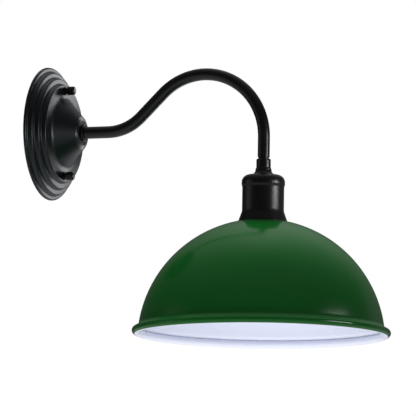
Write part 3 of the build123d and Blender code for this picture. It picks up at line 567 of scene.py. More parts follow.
def make_finishes(context):
    tones = context.scene.sconce_colours
    out_of_wall, upright = ("X", 0.0, 0.05), ("Z", LAMP_X, 0.04)
    FINISHES.update({
        "plate": black_coating("plate_black", tones.black, 0.31, out_of_wall, sheen=(0.82, 0.93, 1.0)),
        "arm": black_coating("arm_black", tones.black, 0.30),
        "cup": black_coating("cup_black", tones.black, 0.33, upright),
        "nut": black_coating("nut_black", tones.black, 0.26),
        "shade": shade_enamel("shade_enamel", tones.green, tones.white),
        "zinc": plated_metal("zinc_plate", tones.zinc, 0.34),
        "strap": plated_metal("rolled_strap", tones.zinc, 0.38, stretch=(1, 1, 0.06), grain=1400),
        "brass": plated_metal("contact_brass", tones.brass, 0.28),
        "ceramic": moulded("fired_ceramic", tones.ceramic, 0.5, grain=700, strength=0.2),
        "plastic": moulded("black_plastic", tones.plastic, 0.38),
        "block": moulded("block_plastic", tones.block, 0.45),
        "live": insulation("brown_insulation", tones.live),
        "neutral": insulation("blue_insulation", tones.neutral),
        "earth": insulation("striped_insulation", tones.earth, tones.stripe),
    })


# ---- Outlines: complex numbers, with the radius as the real part and the height as the other ----

def outline(*corners):
    """The corners of an outline, each given by its radius and its height."""
    return [complex(radius, height) for radius, height in corners]


def band(inner, outer, low, high):
    """The corners of a plain ring, from the lower inner one round by the outside."""
    return outline((inner, low), (outer, low), (outer, high), (inner, high))


def way(first, second):
    return (second - first) / abs(second - first)


def arc_points(before, corner, after, radius):
    """The corner turned into an arc that touches both of its sides."""
    arrive = way(before, corner)
    turn = cmath.phase(way(corner, after) / arrive)
    if radius <= 0 or abs(turn) < STRAIGHT:
        return [corner]
    side = math.copysign(1, turn) * 1j
    first = corner - arrive * radius * math.tan(abs(turn) / 2)
    centre = first + arrive * side * radius
    steps = max(ARC_LEAST, math.ceil(abs(turn) / ARC_STEP))
    return [centre + (first - centre) * cmath.exp(1j * turn * index / steps) for index in range(steps + 1)]


def rounded_loop(corners, rounds):
    """Closed line with every corner rounded."""
    loop = []
    for index, corner in enumerate(corners):
        after = corners[(index + 1) % len(corners)]
        loop += arc_points(corners[index - 1], corner, after, rounds[index])
    return loop


def beside(corners, distance):
    """The corners of the same line moved sideways, to the left."""
    runs = [way(first, second) for first, second in zip(corners, corners[1:])]
    moved = []
    for corner, before, after in zip(corners, runs[:1] + runs, runs + runs[-1:]):
        middle = (before + after) / abs(before + after)
        spread = (middle * before.conjugate()).real
        moved.append(corner + 1j * middle * distance / spread)
    return moved


def sheet_loop(corners, rounds, thickness, edge):
    """Outline of a sheet whose face follows the corners, with its thickness to the left of them."""
    inner_rounds = []
    for before, corner, after, radius in zip(corners, corners[1:], corners[2:], rounds):
        turn = cmath.phase(way(corner, after) / way(before, corner))
        inner_rounds.append(max(edge, radius - math.copysign(thickness, turn)))
    inner = beside(corners, thickness)
    loop_rounds = [edge, *rounds, edge, edge, *reversed(inner_rounds), edge]
    return rounded_loop([*corners, *reversed(inner)], loop_rounds)


def closely(loop, step, inner):
    """The same outline, with its upright runs outside a radius cut into short steps."""
    fine = []
    for first, second in zip(loop, loop[1:] + loop[:1]):
        outside = min(first.real, second.real) > inner
        parts = max(1, math.ceil(abs(second.imag - first.imag) / step)) if outside else 1
        fine += [first + (second - first) * index / parts for index in range(parts)]
    return fine


def rounded_path(corners, rounds):
    """Line in space with its inner corners turned into arcs."""
    corners = [Vector(corner) for corner in corners]
    line = [corners[0]]
    for before, corner, after, radius in zip(corners, corners[1:], corners[2:], rounds):
        arrive = (corner - before).normalized()
        leave = (after - corner).normalized()
        turn = arrive.angle(leave)
        first = corner - arrive * radius * math.tan(turn / 2)
        side = (leave - arrive * arrive.dot(leave)).normalized()
        steps = max(PATH_LEAST, math.ceil(turn / PATH_STEP))
        for index in range(steps + 1):
            part = turn * index / steps
            line.append(first + (arrive * math.sin(part) + side * (1 - math.cos(part))) * radius)
    return line + [corners[-1]]


# ---- Meshes ----

def finished(name, mesh, finish, body, nodes):
    """A piece in its place, smooth except at its crisp edges, that stands for CAD nodes and rides on a body."""
    mesh.name = name
    mesh.polygons.foreach_set("use_smooth", [True] * len(mesh.polygons))
    mesh.set_sharp_from_angle(angle=SHARP_ANGLE)
    mesh.materials.clear()
    mesh.materials.append(FINISHES[finish])
    piece = bpy.data.objects.new(name, mesh)
    bpy.context.scene.collection.objects.link(piece)
    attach(piece, body)
    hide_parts(*nodes)
    return piece


def merged(mesh, place=None):
    """The mesh with its doubles merged, its faces outwards and moved to its place."""
    work = bmesh.new()
    work.from_mesh(mesh)
    bmesh.ops.remove_doubles(work, verts=work.verts, dist=DOUBLE)
    bmesh.ops.dissolve_degenerate(work, edges=work.edges, dist=SLIVER)
    bmesh.ops.recalc_face_normals(work, faces=work.faces)
    if place:
        bmesh.ops.transform(work, matrix=place, verts=work.verts)
    work.to_mesh(mesh)
    work.free()
    return mesh


def joined(*meshes):
    """One mesh of several."""
    work = bmesh.new()
    for mesh in meshes:
        work.from_mesh(mesh)
    result = bpy.data.meshes.new("piece")
    work.to_mesh(result)
    work.free()
    return result


def turned(loop, place=None, even=EVEN):
    """Closed outline turned round its height axis."""
    vertices = []
    faces = []
    size = len(loop)
    for segment in range(even):
        heading = cmath.exp(1j * TURN * segment / even)
        following = (segment + 1) % even
        for index, point in enumerate(loop):
            around = heading * point.real
            vertices.append((around.real, around.imag, point.imag))
            after = (index + 1) % size
            if max(point.real, loop[after].real) > 0:
                faces.append((segment * size + index, following * size + index,
                              following * size + after, segment * size + after))
    mesh = bpy.data.meshes.new("piece")
    mesh.from_pydata(vertices, [], faces)
    return merged(mesh, place)


def strip(loop, half, place):
    """Flat outline given a width, to both sides of its middle."""
    size = len(loop)
    vertices = [(side, point.real, point.imag) for side in (-half, half) for point in loop]
    faces = [tuple(range(size)), tuple(range(size, 2 * size))]
    for index in range(size):
        after = (index + 1) % size
        faces.append((index, after, size + after, size + index))
    mesh = bpy.data.meshes.new("piece")
    mesh.from_pydata(vertices, [], faces)
    return merged(mesh, place)


# ---- Geometry Nodes ----

TREES = {}


def new_tree(name, sockets):
    tree = bpy.data.node_groups.new(name, "GeometryNodeTree")
    tree.interface.new_socket(name="Geometry", in_out="INPUT", socket_type="NodeSocketGeometry")
    for title, kind in sockets.items():
        tree.interface.new_socket(name=title, in_out="INPUT", socket_type="NodeSocket" + kind)
    tree.interface.new_socket(name="Geometry", in_out="OUTPUT", socket_type="NodeSocketGeometry")
    graph = Graph(tree)
    entry = tree.nodes.new("NodeGroupInput")
    graph.given = {socket.name: Term(graph, socket) for socket in entry.outputs if socket.name}
    return graph


def close_tree(graph, geometry):
    """End in real geometry with its material."""
    real = graph.node("GeometryNodeRealizeInstances", {}, {"Geometry": geometry})
    made = graph.node("GeometryNodeSetMaterial", {}, {"Geometry": real, "Material": graph.given["Material"]})
    leave = graph.tree.nodes.new("NodeGroupOutput")
    graph.tree.links.new(made.socket, leave.inputs["Geometry"])
    return graph.tree


def bar_tree():
    """A round bar along a line."""
    graph = new_tree("Bar along a line",
                     {"Radius": "Float", "Sides": "Int", "Caps": "Bool", "Material": "Material"})
    given = graph.given
    line = graph.node("GeometryNodeMeshToCurve", {}, {"Mesh": given["Geometry"]})
    ring = graph.node("GeometryNodeCurvePrimitiveCircle", {"mode": "RADIUS"},
                      {"Resolution": given["Sides"], "Radius": given["Radius"]})
    swept = graph.node("GeometryNodeCurveToMesh", {},
                       {"Curve": line, "Profile Curve": ring, "Fill Caps": given["Caps"]})
    return close_tree(graph, swept)


def groove_tree():
    """Grooves cut towards the upright axis, straight along it or wound round it as a thread."""
    graph = new_tree("Grooves round an axis", {
        "Depth": "Float", "Starts": "Float", "Wind": "Float", "Narrow": "Float", "Low": "Float", "High": "Float",
        "Fade": "Float", "Inner": "Float", "Material": "Material"})
    given = graph.given
    spot = graph.node("GeometryNodeInputPosition")
    across, along, height = (graph.axis(spot, letter) for letter in "XYZ")
    flat = graph.vector("MULTIPLY", {0: spot, 1: (1, 1, 0)})
    outwards = graph.vector("NORMALIZE", {0: flat})
    radius = graph.vector("LENGTH", {0: flat}, "Value")
    turn = graph.maths("ARCTAN2", along, across) * given["Starts"] + height * given["Wind"]
    groove = graph.maths("POWER", graph.maths("COSINE", turn) * 0.5 + 0.5, given["Narrow"])
    enter = graph.rise(height, given["Low"] - given["Fade"], given["Low"])
    leave = graph.rise(height, given["High"], given["High"] + given["Fade"])
    outside = graph.maths("GREATER_THAN", radius, given["Inner"])
    depth = groove * enter * (1 - leave) * outside * given["Depth"]
    moved = graph.vector("SCALE", {"Vector": outwards, "Scale": 0 - depth})
    cut = graph.node("GeometryNodeSetPosition", {}, {"Geometry": given["Geometry"], "Offset": moved})
    return close_tree(graph, cut)


def grown(mesh, tree, values, wall=0.0):
    """The plain mesh that a tree makes of another, with a wall of its own thickness if one is given."""
    seed = bpy.data.objects.new("seed", mesh)
    bpy.context.scene.collection.objects.link(seed)
    modifier = seed.modifiers.new("tree", "NODES")
    modifier.node_group = TREES[tree]
    names = {item.name: item.identifier for item in TREES[tree].interface.items_tree if item.in_out == "INPUT"}
    for name, value in values.items():
        modifier[names[name]] = value
    if wall:
        thicken = seed.modifiers.new("wall", "SOLIDIFY")
        thicken.thickness = wall
        thicken.offset = -1
    bpy.context.view_layer.update()
    shown = seed.evaluated_get(bpy.context.evaluated_depsgraph_get())
    result = bpy.data.meshes.new_from_object(shown)
    bpy.data.objects.remove(seed)
    return result


def bar(corners, rounds, radius, sides, finish, wall=0.0):
    """Round bar or tube along a bent line."""
    line = rounded_path(corners, rounds)
    mesh = bpy.data.meshes.new("line")
    mesh.from_pydata(line, [(index, index + 1) for index in range(len(line) - 1)], [])
    return merged(grown(mesh, "bar", {"Radius": radius, "Sides": sides, "Caps": not wall,
                                      "Material": FINISHES[finish]}, wall))


def grooved(loop, place, even, step, inner, finish, **grooves):
    """Turned piece with grooves or a thread on its side outside a radius."""
    plain = turned(closely(loop, step, inner), None, even)
    mesh = grown(plain, "groove", {"Narrow": 1.0, "Starts": THREAD_START, "Inner": inner,
                                   "Material": FINISHES[finish], **grooves})
    mesh.transform(place)
    return mesh


# ---- Operators ----

class SCONCE_OT_stage(bpy.types.Operator):
    """Camera, floor and soft light"""
    bl_idname = "sconce.stage"
    bl_label = "Stage"

    def execute(self, context):
        scene = context.scene
        stage = scene.sconce_stage
        scene.view_settings.view_transform = "Standard"
        turn, lift = stage.azimuth, stage.elevation
        back = Vector((math.sin(turn) * math.cos(lift), -math.cos(turn) * math.cos(lift), math.sin(lift)))
        lens = bpy.data.cameras.new("camera")
        lens.lens = stage.lens
        lens.sensor_width = SENSOR
        lens.clip_end = stage.distance * 2
        camera = bpy.data.objects.new("camera", lens)
        scene.collection.objects.link(camera)
        facing = back.to_track_quat("Z", "Y").to_matrix() @ Matrix.Rotation(stage.roll, 3, "Z")
        camera.matrix_world = Matrix.Translation(Vector(stage.aim) + back * stage.distance) @ facing.to_4x4()
        scene.camera = camera
        self.light_room(scene)
        self.hang_lamps(scene)
        self.lay_floor(scene)
        return {"FINISHED"}

    def light_room(self, scene):
        """Even light all round, a white background, and soft bright zones that only gloss mirrors."""
        world = bpy.data.worlds.new("studio")
        world.use_nodes = True
        scene.world = world
        graph = Graph(world.node_tree)
        graph.tree.nodes.clear()
        seen, mirrored, through = (graph.node("ShaderNodeLightPath", output=ray)
                                   for ray in ("Is Camera Ray", "Is Glossy Ray", "Is Transmission Ray"))
        shown = graph.maths("MINIMUM", seen + mirrored + through, 1.0)
        where = graph.node("ShaderNodeTexCoord", output="Generated")
        height = graph.axis(where, "Z")
        zones = DIM
        for start, full, amount in BANDS:
            zones = zones + graph.rise(height, start, full, amount)
        for towards, tightness, amount, reach in ZONES:
            middle = Vector(towards).normalized()
            facing = graph.vector("DOT_PRODUCT", {0: where, 1: middle}, "Value")
            spot = graph.maths("POWER", graph.maths("MAXIMUM", facing, 0.0), tightness) * amount
            apart = graph.maths("ABSOLUTE", height - middle.z)
            zones = zones + spot * graph.rise(apart, reach, 0.0)
        even, bright = (graph.node("ShaderNodeBackground", {}, {"Color": WHITE, "Strength": strength})
                        for strength in (scene.sconce_stage.room_light, mirrored * zones + (1 - mirrored)))
        room = graph.node("ShaderNodeMixShader", {}, {0: shown, 1: even, 2: bright})
        graph.show(room, "ShaderNodeOutputWorld")

    def hang_lamps(self, scene):
        for name, (spot, faced, size, power, mirrored) in LAMPS.items():
            light = bpy.data.lights.new(name, "AREA")
            light.shape = "ELLIPSE"
            light.size, light.size_y = size
            light.energy = power
            lamp = bpy.data.objects.new(name, light)
            towards = Vector(faced) - Vector(spot)
            lamp.location = spot
            lamp.rotation_euler = towards.to_track_quat("-Z", "Y").to_euler()
            lamp.visible_glossy = mirrored
            lamp.visible_diffuse = not mirrored
            lamp.visible_camera = False
            scene.collection.objects.link(lamp)

    def lay_floor(self, scene):
        """Pale floor, open from below so that a low camera looks through it."""
        half = scene.sconce_stage.floor_half
        depth = -scene.sconce_stage.floor_depth
        mesh = bpy.data.meshes.new("floor")
        mesh.from_pydata([(-half, -half, depth), (half, -half, depth), (half, half, depth), (-half, half, depth)],
                         [], [(0, 1, 2, 3)])
        finish = Finish("pale_floor")
        base = finish.mottled(finish.noise(scale=3), scene.sconce_colours.floor, dark=0.985, light=1.0)
        face = finish.node("ShaderNodeBsdfPrincipled", {}, {"Base Color": base, "Roughness": 0.8})
        clear = finish.node("ShaderNodeBsdfTransparent")
        below = finish.node("ShaderNodeNewGeometry", output="Backfacing")
        mesh.materials.append(finish.end(finish.node("ShaderNodeMixShader", {}, {0: below, 1: face, 2: clear})))
        floor = bpy.data.objects.new("floor", mesh)
        scene.collection.objects.link(floor)


class SCONCE_OT_plate(bpy.types.Operator):
    """Stepped wall plate with its cone"""
    bl_idname = "sconce.plate"
    bl_label = "Wall plate"

    def execute(self, context):
        size = context.scene.sconce_plate
        corners = [(size.rim_radius, 0), (size.rim_radius, size.rim_height)]
        rounds = [size.step_round]
        ledge = size.rim_height
        for radius, height in zip(size.step_radii, size.step_heights):
            corners += [(radius + size.riser_lean, ledge + size.step_slope), (radius, height)]
            rounds += [size.crease_round, size.step_round]
            ledge = height
        corners += [(size.cone_base, ledge), (size.nose_radius, size.depth - size.nose_rise),
                    (size.nose_face, size.depth), (size.bore, size.depth)]
        rounds += [size.cone_round, size.crease_round, size.nose_round]
        loop = sheet_loop(outline(*corners), rounds, size.sheet, EDGE)
        finished("wall_plate", turned(loop, OUT_OF_WALL, WIDE), "plate", "fixture", ["canopy"])
        return {"FINISHED"}


def at_stud(nuts, side):
    """Out of the wall at the upper or the lower stud."""
    return Matrix.Translation((0, 0, side * nuts.spacing / 2)) @ OUT_OF_WALL


class SCONCE_OT_nuts(bpy.types.Operator):
    """Knurled finger nuts and their loose collars"""
    bl_idname = "sconce.nuts"
    bl_label = "Finger nuts"

    def execute(self, context):
        size = context.scene.sconce_nuts
        waist = size.base + size.waist_length
        end = waist + size.height
        corners = outline((size.bore, size.base), (size.waist_radius, size.base), (size.waist_radius, waist),
                          (size.radius, waist), (size.radius, end), (0, end), (0, size.bore_end),
                          (size.bore, size.bore_end))
        nut = rounded_loop(corners, [EDGE, EDGE, EDGE, size.foot_round, size.dome, 0, 0, 0])
        corners = band(size.bore, size.collar_radius, size.collar_base, size.collar_base + size.collar_height)
        collar = rounded_loop(corners, [EDGE / 2, EDGE, EDGE, EDGE / 2])
        for name, side in (("upper", 1), ("lower", -1)):
            place = at_stud(size, side)
            head = grooved(nut, place, size.grooves * GROOVE_FACES, size.height / HEAD_ROWS,
                           size.waist_radius + EDGE, "nut", Depth=size.groove_depth, Starts=float(size.grooves),
                           Narrow=3.0, Low=waist + size.foot_round, High=end - size.dome, Fade=size.foot_round)
            finished(name + "_finger_nut", head, "nut", name + "_nut", [name + "_cap_nut"])
            finished(name + "_collar", turned(collar, place, TINY), "nut", name + "_collar",
                     [name + "_captive_washer"])
        return {"FINISHED"}


def arm_corners(size):
    """Where the straight runs of the arm would meet: the way out of the first and the height of the second."""
    slope = cmath.exp(1j * size.rise)
    centre = complex(LAMP_X - size.arch_radius, size.arch_top - size.arch_radius)
    touch = centre + slope * 1j * size.arch_radius
    root = touch - slope * touch.imag / slope.imag
    top = touch + slope * (LAMP_X - touch.real) / slope.real
    return root.real, top.imag


class SCONCE_OT_arm(bpy.types.Operator):
    """Bent tube and the collar at the wall plate"""
    bl_idname = "sconce.arm"
    bl_label = "Arm"

    def execute(self, context):
        size = context.scene.sconce_arm
        root, top = arm_corners(size)
        corners = [(size.start, 0, 0), (root, 0, 0), (LAMP_X, 0, top), (LAMP_X, 0, -size.drop)]
        rounds = [size.root_radius, size.arch_radius]
        tube = bar(corners, rounds, size.radius, TUBE_SIDES, "arm", size.wall)
        finished("arm", tube, "arm", "fixture", ["arm_tube"])

        plate = context.scene.sconce_plate
        low = plate.depth
        high = low + size.collar_height
        seat = high - size.collar_seat
        snug = size.radius + size.collar_gap
        corners = outline((plate.bore, low), (size.collar_radius, low), (size.collar_radius, high), (snug, high),
                          (snug, seat), (plate.bore, seat))
        loop = rounded_loop(corners, [0, EDGE, size.collar_round, EDGE / 2, 0, 0])
        finished("arm_collar", turned(loop, OUT_OF_WALL, NARROW), "arm", "fixture", ["root_collar"])
        return {"FINISHED"}


class SCONCE_OT_cup(bpy.types.Operator):
    """Cup over the lampholder and the small collar above it"""
    bl_idname = "sconce.cup"
    bl_label = "Cup"

    def execute(self, context):
        size = context.scene.sconce_cup
        bore = context.scene.sconce_plate.bore
        tube_end = -context.scene.sconce_arm.drop
        neck_end = tube_end - size.coupler_neck_length
        top = tube_end - size.coupler_length
        corners = outline((bore, top), (size.coupler_radius, top), (size.coupler_radius, neck_end),
                          (size.coupler_neck, neck_end), (size.coupler_neck, tube_end), (bore, tube_end))
        loop = rounded_loop(corners, [0, size.coupler_round / 2, size.coupler_round, EDGE, EDGE / 2, 0])
        finished("tube_end_collar", turned(loop, AT_LAMP, NARROW), "arm", "fixture", ["end_coupler"])

        shoulder = top - size.neck_length
        groove = shoulder - size.bead_height
        wall_top = groove - size.groove_height
        wall_end = wall_top - size.wall_length
        corners = outline((bore, top), (size.neck_radius, top), (size.neck_radius, shoulder),
                          (size.bead_radius, shoulder), (size.bead_radius, groove), (size.wall_radius, wall_top),
                          (size.wall_radius, wall_end), (size.skirt_radius, wall_end - size.skirt_drop))
        rounds = [size.neck_round, size.flare, size.shoulder_round, size.bead_round, size.groove_round,
                  size.skirt_round]
        loop = sheet_loop(corners, rounds, -size.sheet, EDGE)
        finished("lampholder_cup", turned(loop, AT_LAMP), "cup", "fixture", ["holder_cup"])
        return {"FINISHED"}


class SCONCE_OT_shade(bpy.types.Operator):
    """Enamelled dome with its rolled rim"""
    bl_idname = "sconce.shade"
    bl_label = "Shade"

    def execute(self, context):
        size = context.scene.sconce_shade
        face, marks = self.face_line(size)
        inner = []
        for index, point in enumerate(face):
            before = face[max(0, index - 1)]
            after = face[min(len(face) - 1, index + 1)]
            inner.append(point - 1j * way(before, after) * size.sheet)
        half = size.sheet / 2
        rim_cap = self.cap(face[-2], face[-1], -1j, half, half, (60, 30, 0, -30, -60))
        neck_cap = self.cap(face[1], face[0], 1j, half, half * 0.6, (60, 0, -60))
        loop = face + rim_cap + inner[::-1] + neck_cap
        marks += [1.0] * (len(loop) - len(face))
        mesh = turned(loop, AT_LAMP, WIDE)
        self.mark_inside(mesh, loop, marks)
        finished("dome_shade", mesh, "shade", "shade", ["shade"])
        return {"FINISHED"}

    def cap(self, before, end, side, half, reach, turns):
        """Round end of the sheet, whose middle lies to one side of its face's end."""
        along = way(before, end)
        return [end + (side * along) * half + reach * cmath.exp(1j * math.radians(turn)) * along
                for turn in turns]

    def face_line(self, size):
        """Outer face from the neck to the end of the rolled rim, with how far each point is past the green."""
        seat = math.sqrt(size.dome_radius ** 2 - size.seat_radius ** 2)
        centre = complex(0, -size.seat_depth - seat)
        foot_lift = math.asin(size.foot_lift / size.dome_radius)
        seat_lift = math.acos(size.seat_radius / size.dome_radius)
        seat_width = size.seat_radius - size.neck_radius
        face = [complex(size.neck_radius + seat_width * index / SEAT_STEPS, -size.seat_depth)
                for index in range(SEAT_STEPS)]
        for index in range(DOME_STEPS):
            lift = seat_lift + (foot_lift - seat_lift) * index / DOME_STEPS
            face.append(centre + size.dome_radius * cmath.exp(1j * lift))
        flare_centre = centre + (size.dome_radius + size.flare) * cmath.exp(1j * foot_lift)
        start = math.pi + foot_lift
        finish = math.pi + size.flare_end
        for index in range(FLARE_STEPS):
            turn = start + (finish - start) * index / FLARE_STEPS
            face.append(flare_centre + size.flare * cmath.exp(1j * turn))
        bead_start = flare_centre + size.flare * cmath.exp(1j * finish)
        bead_centre = bead_start - size.bead * cmath.exp(1j * size.flare_end)
        marks = [0.0] * len(face)
        apart = size.flare + size.bead
        clear = size.flare + size.sheet + size.curl_gap
        opening = math.acos((apart ** 2 + size.bead ** 2 - clear ** 2) / (2 * apart * size.bead))
        for index in range(RIM_STEPS + 1):
            turn = size.flare_end - (TURN - opening) * index / RIM_STEPS
            face.append(bead_centre + size.bead * cmath.exp(1j * turn))
            past = (-math.pi / 2 + size.green_edge) - turn
            marks.append(min(1.0, max(0.0, 0.5 + past / size.edge_blur)))
        return face, marks

    def mark_inside(self, mesh, loop, marks):
        """Attribute that is 0 on the green side and 1 on the white side."""
        def key(radius, height):
            return round(radius * PER_MICRON), round(height * PER_MICRON)

        known = {key(point.real, point.imag): mark for point, mark in zip(loop, marks)}
        values = []
        for vertex in mesh.vertices:
            spot = key(math.hypot(vertex.co.x - LAMP_X, vertex.co.y), vertex.co.z)
            if spot not in known:
                nearest = min(known, key=lambda other: math.dist(spot, other))
                known[spot] = known[nearest]
            values.append(known[spot])
        mesh.attributes.new("inside", "FLOAT", "POINT").data.foreach_set("value", values)


class SCONCE_OT_holder(bpy.types.Operator):
    """Threaded skirt of the lampholder and its screw shell"""
    bl_idname = "sconce.holder"
    bl_label = "Lampholder"

    def execute(self, context):
        size = context.scene.sconce_holder
        mouth = -size.skirt_end
        mouth_top = mouth + size.mouth_height
        ledge_end = -size.ledge_top - size.ledge_height
        corners = outline((size.spigot_bore, -size.spigot_top), (size.spigot_radius, -size.spigot_top),
                          (size.spigot_radius, -size.skirt_top), (size.radius, -size.skirt_top),
                          (size.radius, mouth), (size.mouth_radius, mouth), (size.mouth_radius, mouth_top),
                          (size.skirt_bore, mouth_top + size.skirt_bore - size.mouth_radius),
                          (size.skirt_bore, ledge_end - size.skirt_bore + size.ledge_radius),
                          (size.ledge_radius, ledge_end), (size.ledge_radius, -size.ledge_top),
                          (size.spigot_bore, -size.ledge_top))
        rounds = [EDGE / 2, EDGE / 2, 0, EDGE / 2, EDGE * 2, EDGE * 2, EDGE, EDGE, EDGE, EDGE, 0, 0]
        pitch = size.thread_pitch
        skirt = grooved(rounded_loop(corners, rounds), AT_LAMP, THREAD_FACES, pitch / SKIRT_ROWS,
                        size.spigot_radius, "plastic", Depth=size.thread_depth, Wind=TURN / pitch,
                        Low=EDGE * 3 + mouth, High=-size.skirt_top - pitch * 3, Fade=pitch)
        finished("threaded_skirt", skirt, "plastic", "fixture", ["lampholder_skirt"])

        outer = size.shell_radius + size.shell_sheet
        neck = size.shell_neck - size.shell_sheet
        shoulder = -size.shell_top + size.shell_neck - outer
        corners = outline((size.shell_radius, -size.shell_end), (outer, -size.shell_end),
                          (outer, -size.shell_top), (size.shell_neck, shoulder),
                          (size.shell_neck, -size.ledge_top), (neck, -size.ledge_top), (neck, shoulder),
                          (size.shell_radius, -size.shell_top))
        fine = size.shell_sheet / 4
        pitch = size.shell_pitch
        shell = grooved(rounded_loop(corners, [fine] * len(corners)), AT_LAMP, THREAD_FACES, pitch / LAMP_ROWS,
                        0.0, "brass", Depth=size.shell_depth, Wind=TURN / pitch,
                        Low=pitch / 4 - size.shell_end, High=-size.shell_top - pitch / 2, Fade=pitch / 2)
        foot = -size.ledge_top - size.shell_sheet
        corners = outline((-size.shell_neck, foot), (-size.shell_neck, -size.leg_top),
                          (-size.tab_end, -size.leg_top))
        leg = sheet_loop(corners, [size.leg_sheet + EDGE], -size.leg_sheet, fine)
        finished("screw_shell_sheet", joined(shell, strip(leg, size.leg_width / 2, AT_LAMP)), "brass", "fixture",
                 ["screw_shell"])
        return {"FINISHED"}


class SCONCE_OT_ring(bpy.types.Operator):
    """Ring that clamps the shade, with grips for the fingers"""
    bl_idname = "sconce.ring"
    bl_label = "Shade ring"

    def execute(self, context):
        size = context.scene.sconce_ring
        low, lip = -size.top - size.height, -size.top - size.lip_height
        corners = outline((size.bore, low), (size.grip_radius, low), (size.grip_radius, lip),
                          (size.lip_radius, lip), (size.lip_radius, -size.top), (size.bore, -size.top))
        loop = rounded_loop(corners, [EDGE, EDGE * 2, EDGE, EDGE, EDGE, EDGE])
        inner = (size.bore + size.grip_radius) / 2
        ring = grooved(loop, AT_LAMP, size.grips * GRIP_FACES, size.height / RING_ROWS, inner, "plastic",
                       Depth=size.grip_depth, Starts=float(size.grips), Narrow=10.0,
                       Low=low - size.lip_height, High=lip - EDGE * 2, Fade=EDGE)
        finished("clamping_ring", ring, "plastic", "ring", ["shade_ring"])
        return {"FINISHED"}


class SCONCE_OT_threads(bpy.types.Operator):
    """Threaded studs behind the wall plate and the nipples at the two ends of the arm"""
    bl_idname = "sconce.threads"
    bl_label = "Studs and nipples"

    def execute(self, context):
        size = context.scene.sconce_studs
        corners = outline((0, size.head_base), (size.head_radius, size.head_base),
                          (size.head_radius, size.head_end), (size.radius, size.head_end),
                          (size.radius, size.end), (0, size.end))
        loop = rounded_loop(corners, [0, EDGE * 2, EDGE, 0, size.pitch / 2, 0])
        studs = [self.threaded(loop, at_stud(context.scene.sconce_nuts, side), size, size.head_end, size.end)
                 for side in (1, -1)]
        finished("threaded_studs", joined(*studs), "zinc", "fixture", ["canopy_studs"])

        size = context.scene.sconce_nipples
        for node, place, axis in (("root_nipple", OUT_OF_WALL, "x"), ("end_nipple", AT_LAMP, "z")):
            low, high = (getattr(corner, axis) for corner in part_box(node))
            loop = rounded_loop(band(size.bore, size.radius, low, high),
                                [EDGE, size.pitch / 2, size.pitch / 2, EDGE])
            nipple = self.threaded(loop, place, size, low - size.pitch, high + size.pitch)
            finished("threaded_" + node, nipple, "zinc", "fixture", [node])
        return {"FINISHED"}

    def threaded(self, loop, place, size, low, high):
        return grooved(loop, place, SMALL_THREAD_FACES, size.pitch / SMALL_THREAD_ROWS,
                       size.radius * THREAD_CORE, "zinc", Depth=size.pitch * THREAD_CUT,
                       Wind=TURN / size.pitch, Low=low + size.pitch, High=high, Fade=size.pitch / 2)


class SCONCE_OT_wires(bpy.types.Operator):
    """Wires from the terminal block to the lampholder and to the earth terminal"""
    bl_idname = "sconce.wires"
    bl_label = "Wires"

    def execute(self, context):
        size = context.scene.sconce_wires
        arm = context.scene.sconce_arm
        root, top = arm_corners(arm)
        block, cone, fan, end = size.turns
        rounds = [block, cone, arm.root_radius, arm.arch_radius, fan, end]
        for name, side, height in (("live", 1, size.way_heights[0]), ("neutral", -1, size.way_heights[1])):
            line = side * size.spacing / 2
            goal = side * size.terminal
            corners = [(size.way_face, size.way_entry, height), (size.way_face, line, height),
                       (size.lead, line, 0), (root, line, 0), (LAMP_X, line, top), (LAMP_X, line, -size.fan_top),
                       (LAMP_X, goal, -size.fan_end), (LAMP_X, goal, -size.end)]
            wire = bar(corners, rounds, size.radius, WIRE_SIDES, name)
            finished(name + "_insulated_wire", wire, name, "fixture", [name + "_wire"])
        height = size.way_heights[2]
        corners = [(size.way_face, size.way_entry, height), (size.way_face, size.block_face, height),
                   (size.eye_face, size.eye_turn, height), (size.eye_face, size.eye_entry, height)]
        wire = bar(corners, [end, end], size.radius, WIRE_SIDES, "earth")
        finished("earth_insulated_wire", wire, "earth", "fixture", ["earth_wire"])
        return {"FINISHED"}


CAD_FINISHES = {
    "strap": ["wall_bracket"],
    "zinc": ["stud_locknuts", "root_locknut", "cup_locknut", "root_lock_washer", "cup_lock_washer",
             "insert_screws", "holder_grub_screw", "earth_screw", "earth_washer", "block_screw",
             "terminal_screws"],
    "brass": ["terminal_inserts", "earth_ring_terminal", "contact_strip", "centre_contact", "holder_terminals",
              "holder_terminal_screws"],
    "plastic": ["lampholder_cap", "wire_bush"],
    "ceramic": ["lampholder_insert"],
    "block": ["terminal_block"],
}


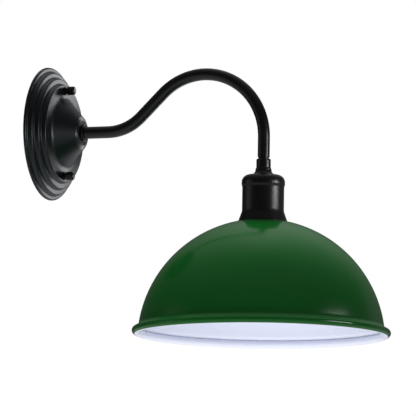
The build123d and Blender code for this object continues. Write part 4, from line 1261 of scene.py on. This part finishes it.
class SCONCE_OT_fittings(bpy.types.Operator):
    """Finishes of the fittings that keep their own shape"""
    bl_idname = "sconce.fittings"
    bl_label = "Fittings"

    def execute(self, context):
        for finish, nodes in CAD_FINISHES.items():
            for node in nodes:
                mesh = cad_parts[node].data
                mesh.materials.clear()
                mesh.materials.append(FINISHES[finish])
        return {"FINISHED"}


class SCONCE_PT_panel(bpy.types.Panel):
    """Pieces of the wall light"""
    bl_idname = "SCONCE_PT_panel"
    bl_label = "Wall sconce"
    bl_space_type = "VIEW_3D"
    bl_region_type = "UI"
    bl_category = "Sconce"

    def draw(self, context):
        for operator in OPERATORS:
            self.layout.operator(operator.bl_idname)
        for name in GROUPS:
            group = getattr(context.scene, name)
            box = self.layout.box()
            for key in group.bl_rna.properties.keys():
                if key not in ("rna_type", "name"):
                    box.prop(group, key)


OPERATORS = [SCONCE_OT_stage, SCONCE_OT_plate, SCONCE_OT_nuts, SCONCE_OT_arm, SCONCE_OT_cup, SCONCE_OT_shade,
             SCONCE_OT_holder, SCONCE_OT_ring, SCONCE_OT_threads, SCONCE_OT_wires, SCONCE_OT_fittings]


def register():
    for name, group in GROUPS.items():
        bpy.utils.register_class(group)
        setattr(bpy.types.Scene, name, bpy.props.PointerProperty(type=group))
    for operator in OPERATORS:
        bpy.utils.register_class(operator)
    bpy.utils.register_class(SCONCE_PT_panel)


def unregister():
    bpy.utils.unregister_class(SCONCE_PT_panel)
    for operator in reversed(OPERATORS):
        bpy.utils.unregister_class(operator)
    for name, group in GROUPS.items():
        delattr(bpy.types.Scene, name)
        bpy.utils.unregister_class(group)


def main():
    register()
    make_finishes(bpy.context)
    TREES.update(bar=bar_tree(), groove=groove_tree())
    bpy.ops.sconce.stage()
    bpy.ops.sconce.plate()
    bpy.ops.sconce.nuts()
    bpy.ops.sconce.arm()
    bpy.ops.sconce.cup()
    bpy.ops.sconce.shade()
    bpy.ops.sconce.holder()
    bpy.ops.sconce.ring()
    bpy.ops.sconce.threads()
    bpy.ops.sconce.wires()
    bpy.ops.sconce.fittings()


if __name__ == "__main__":
    main()
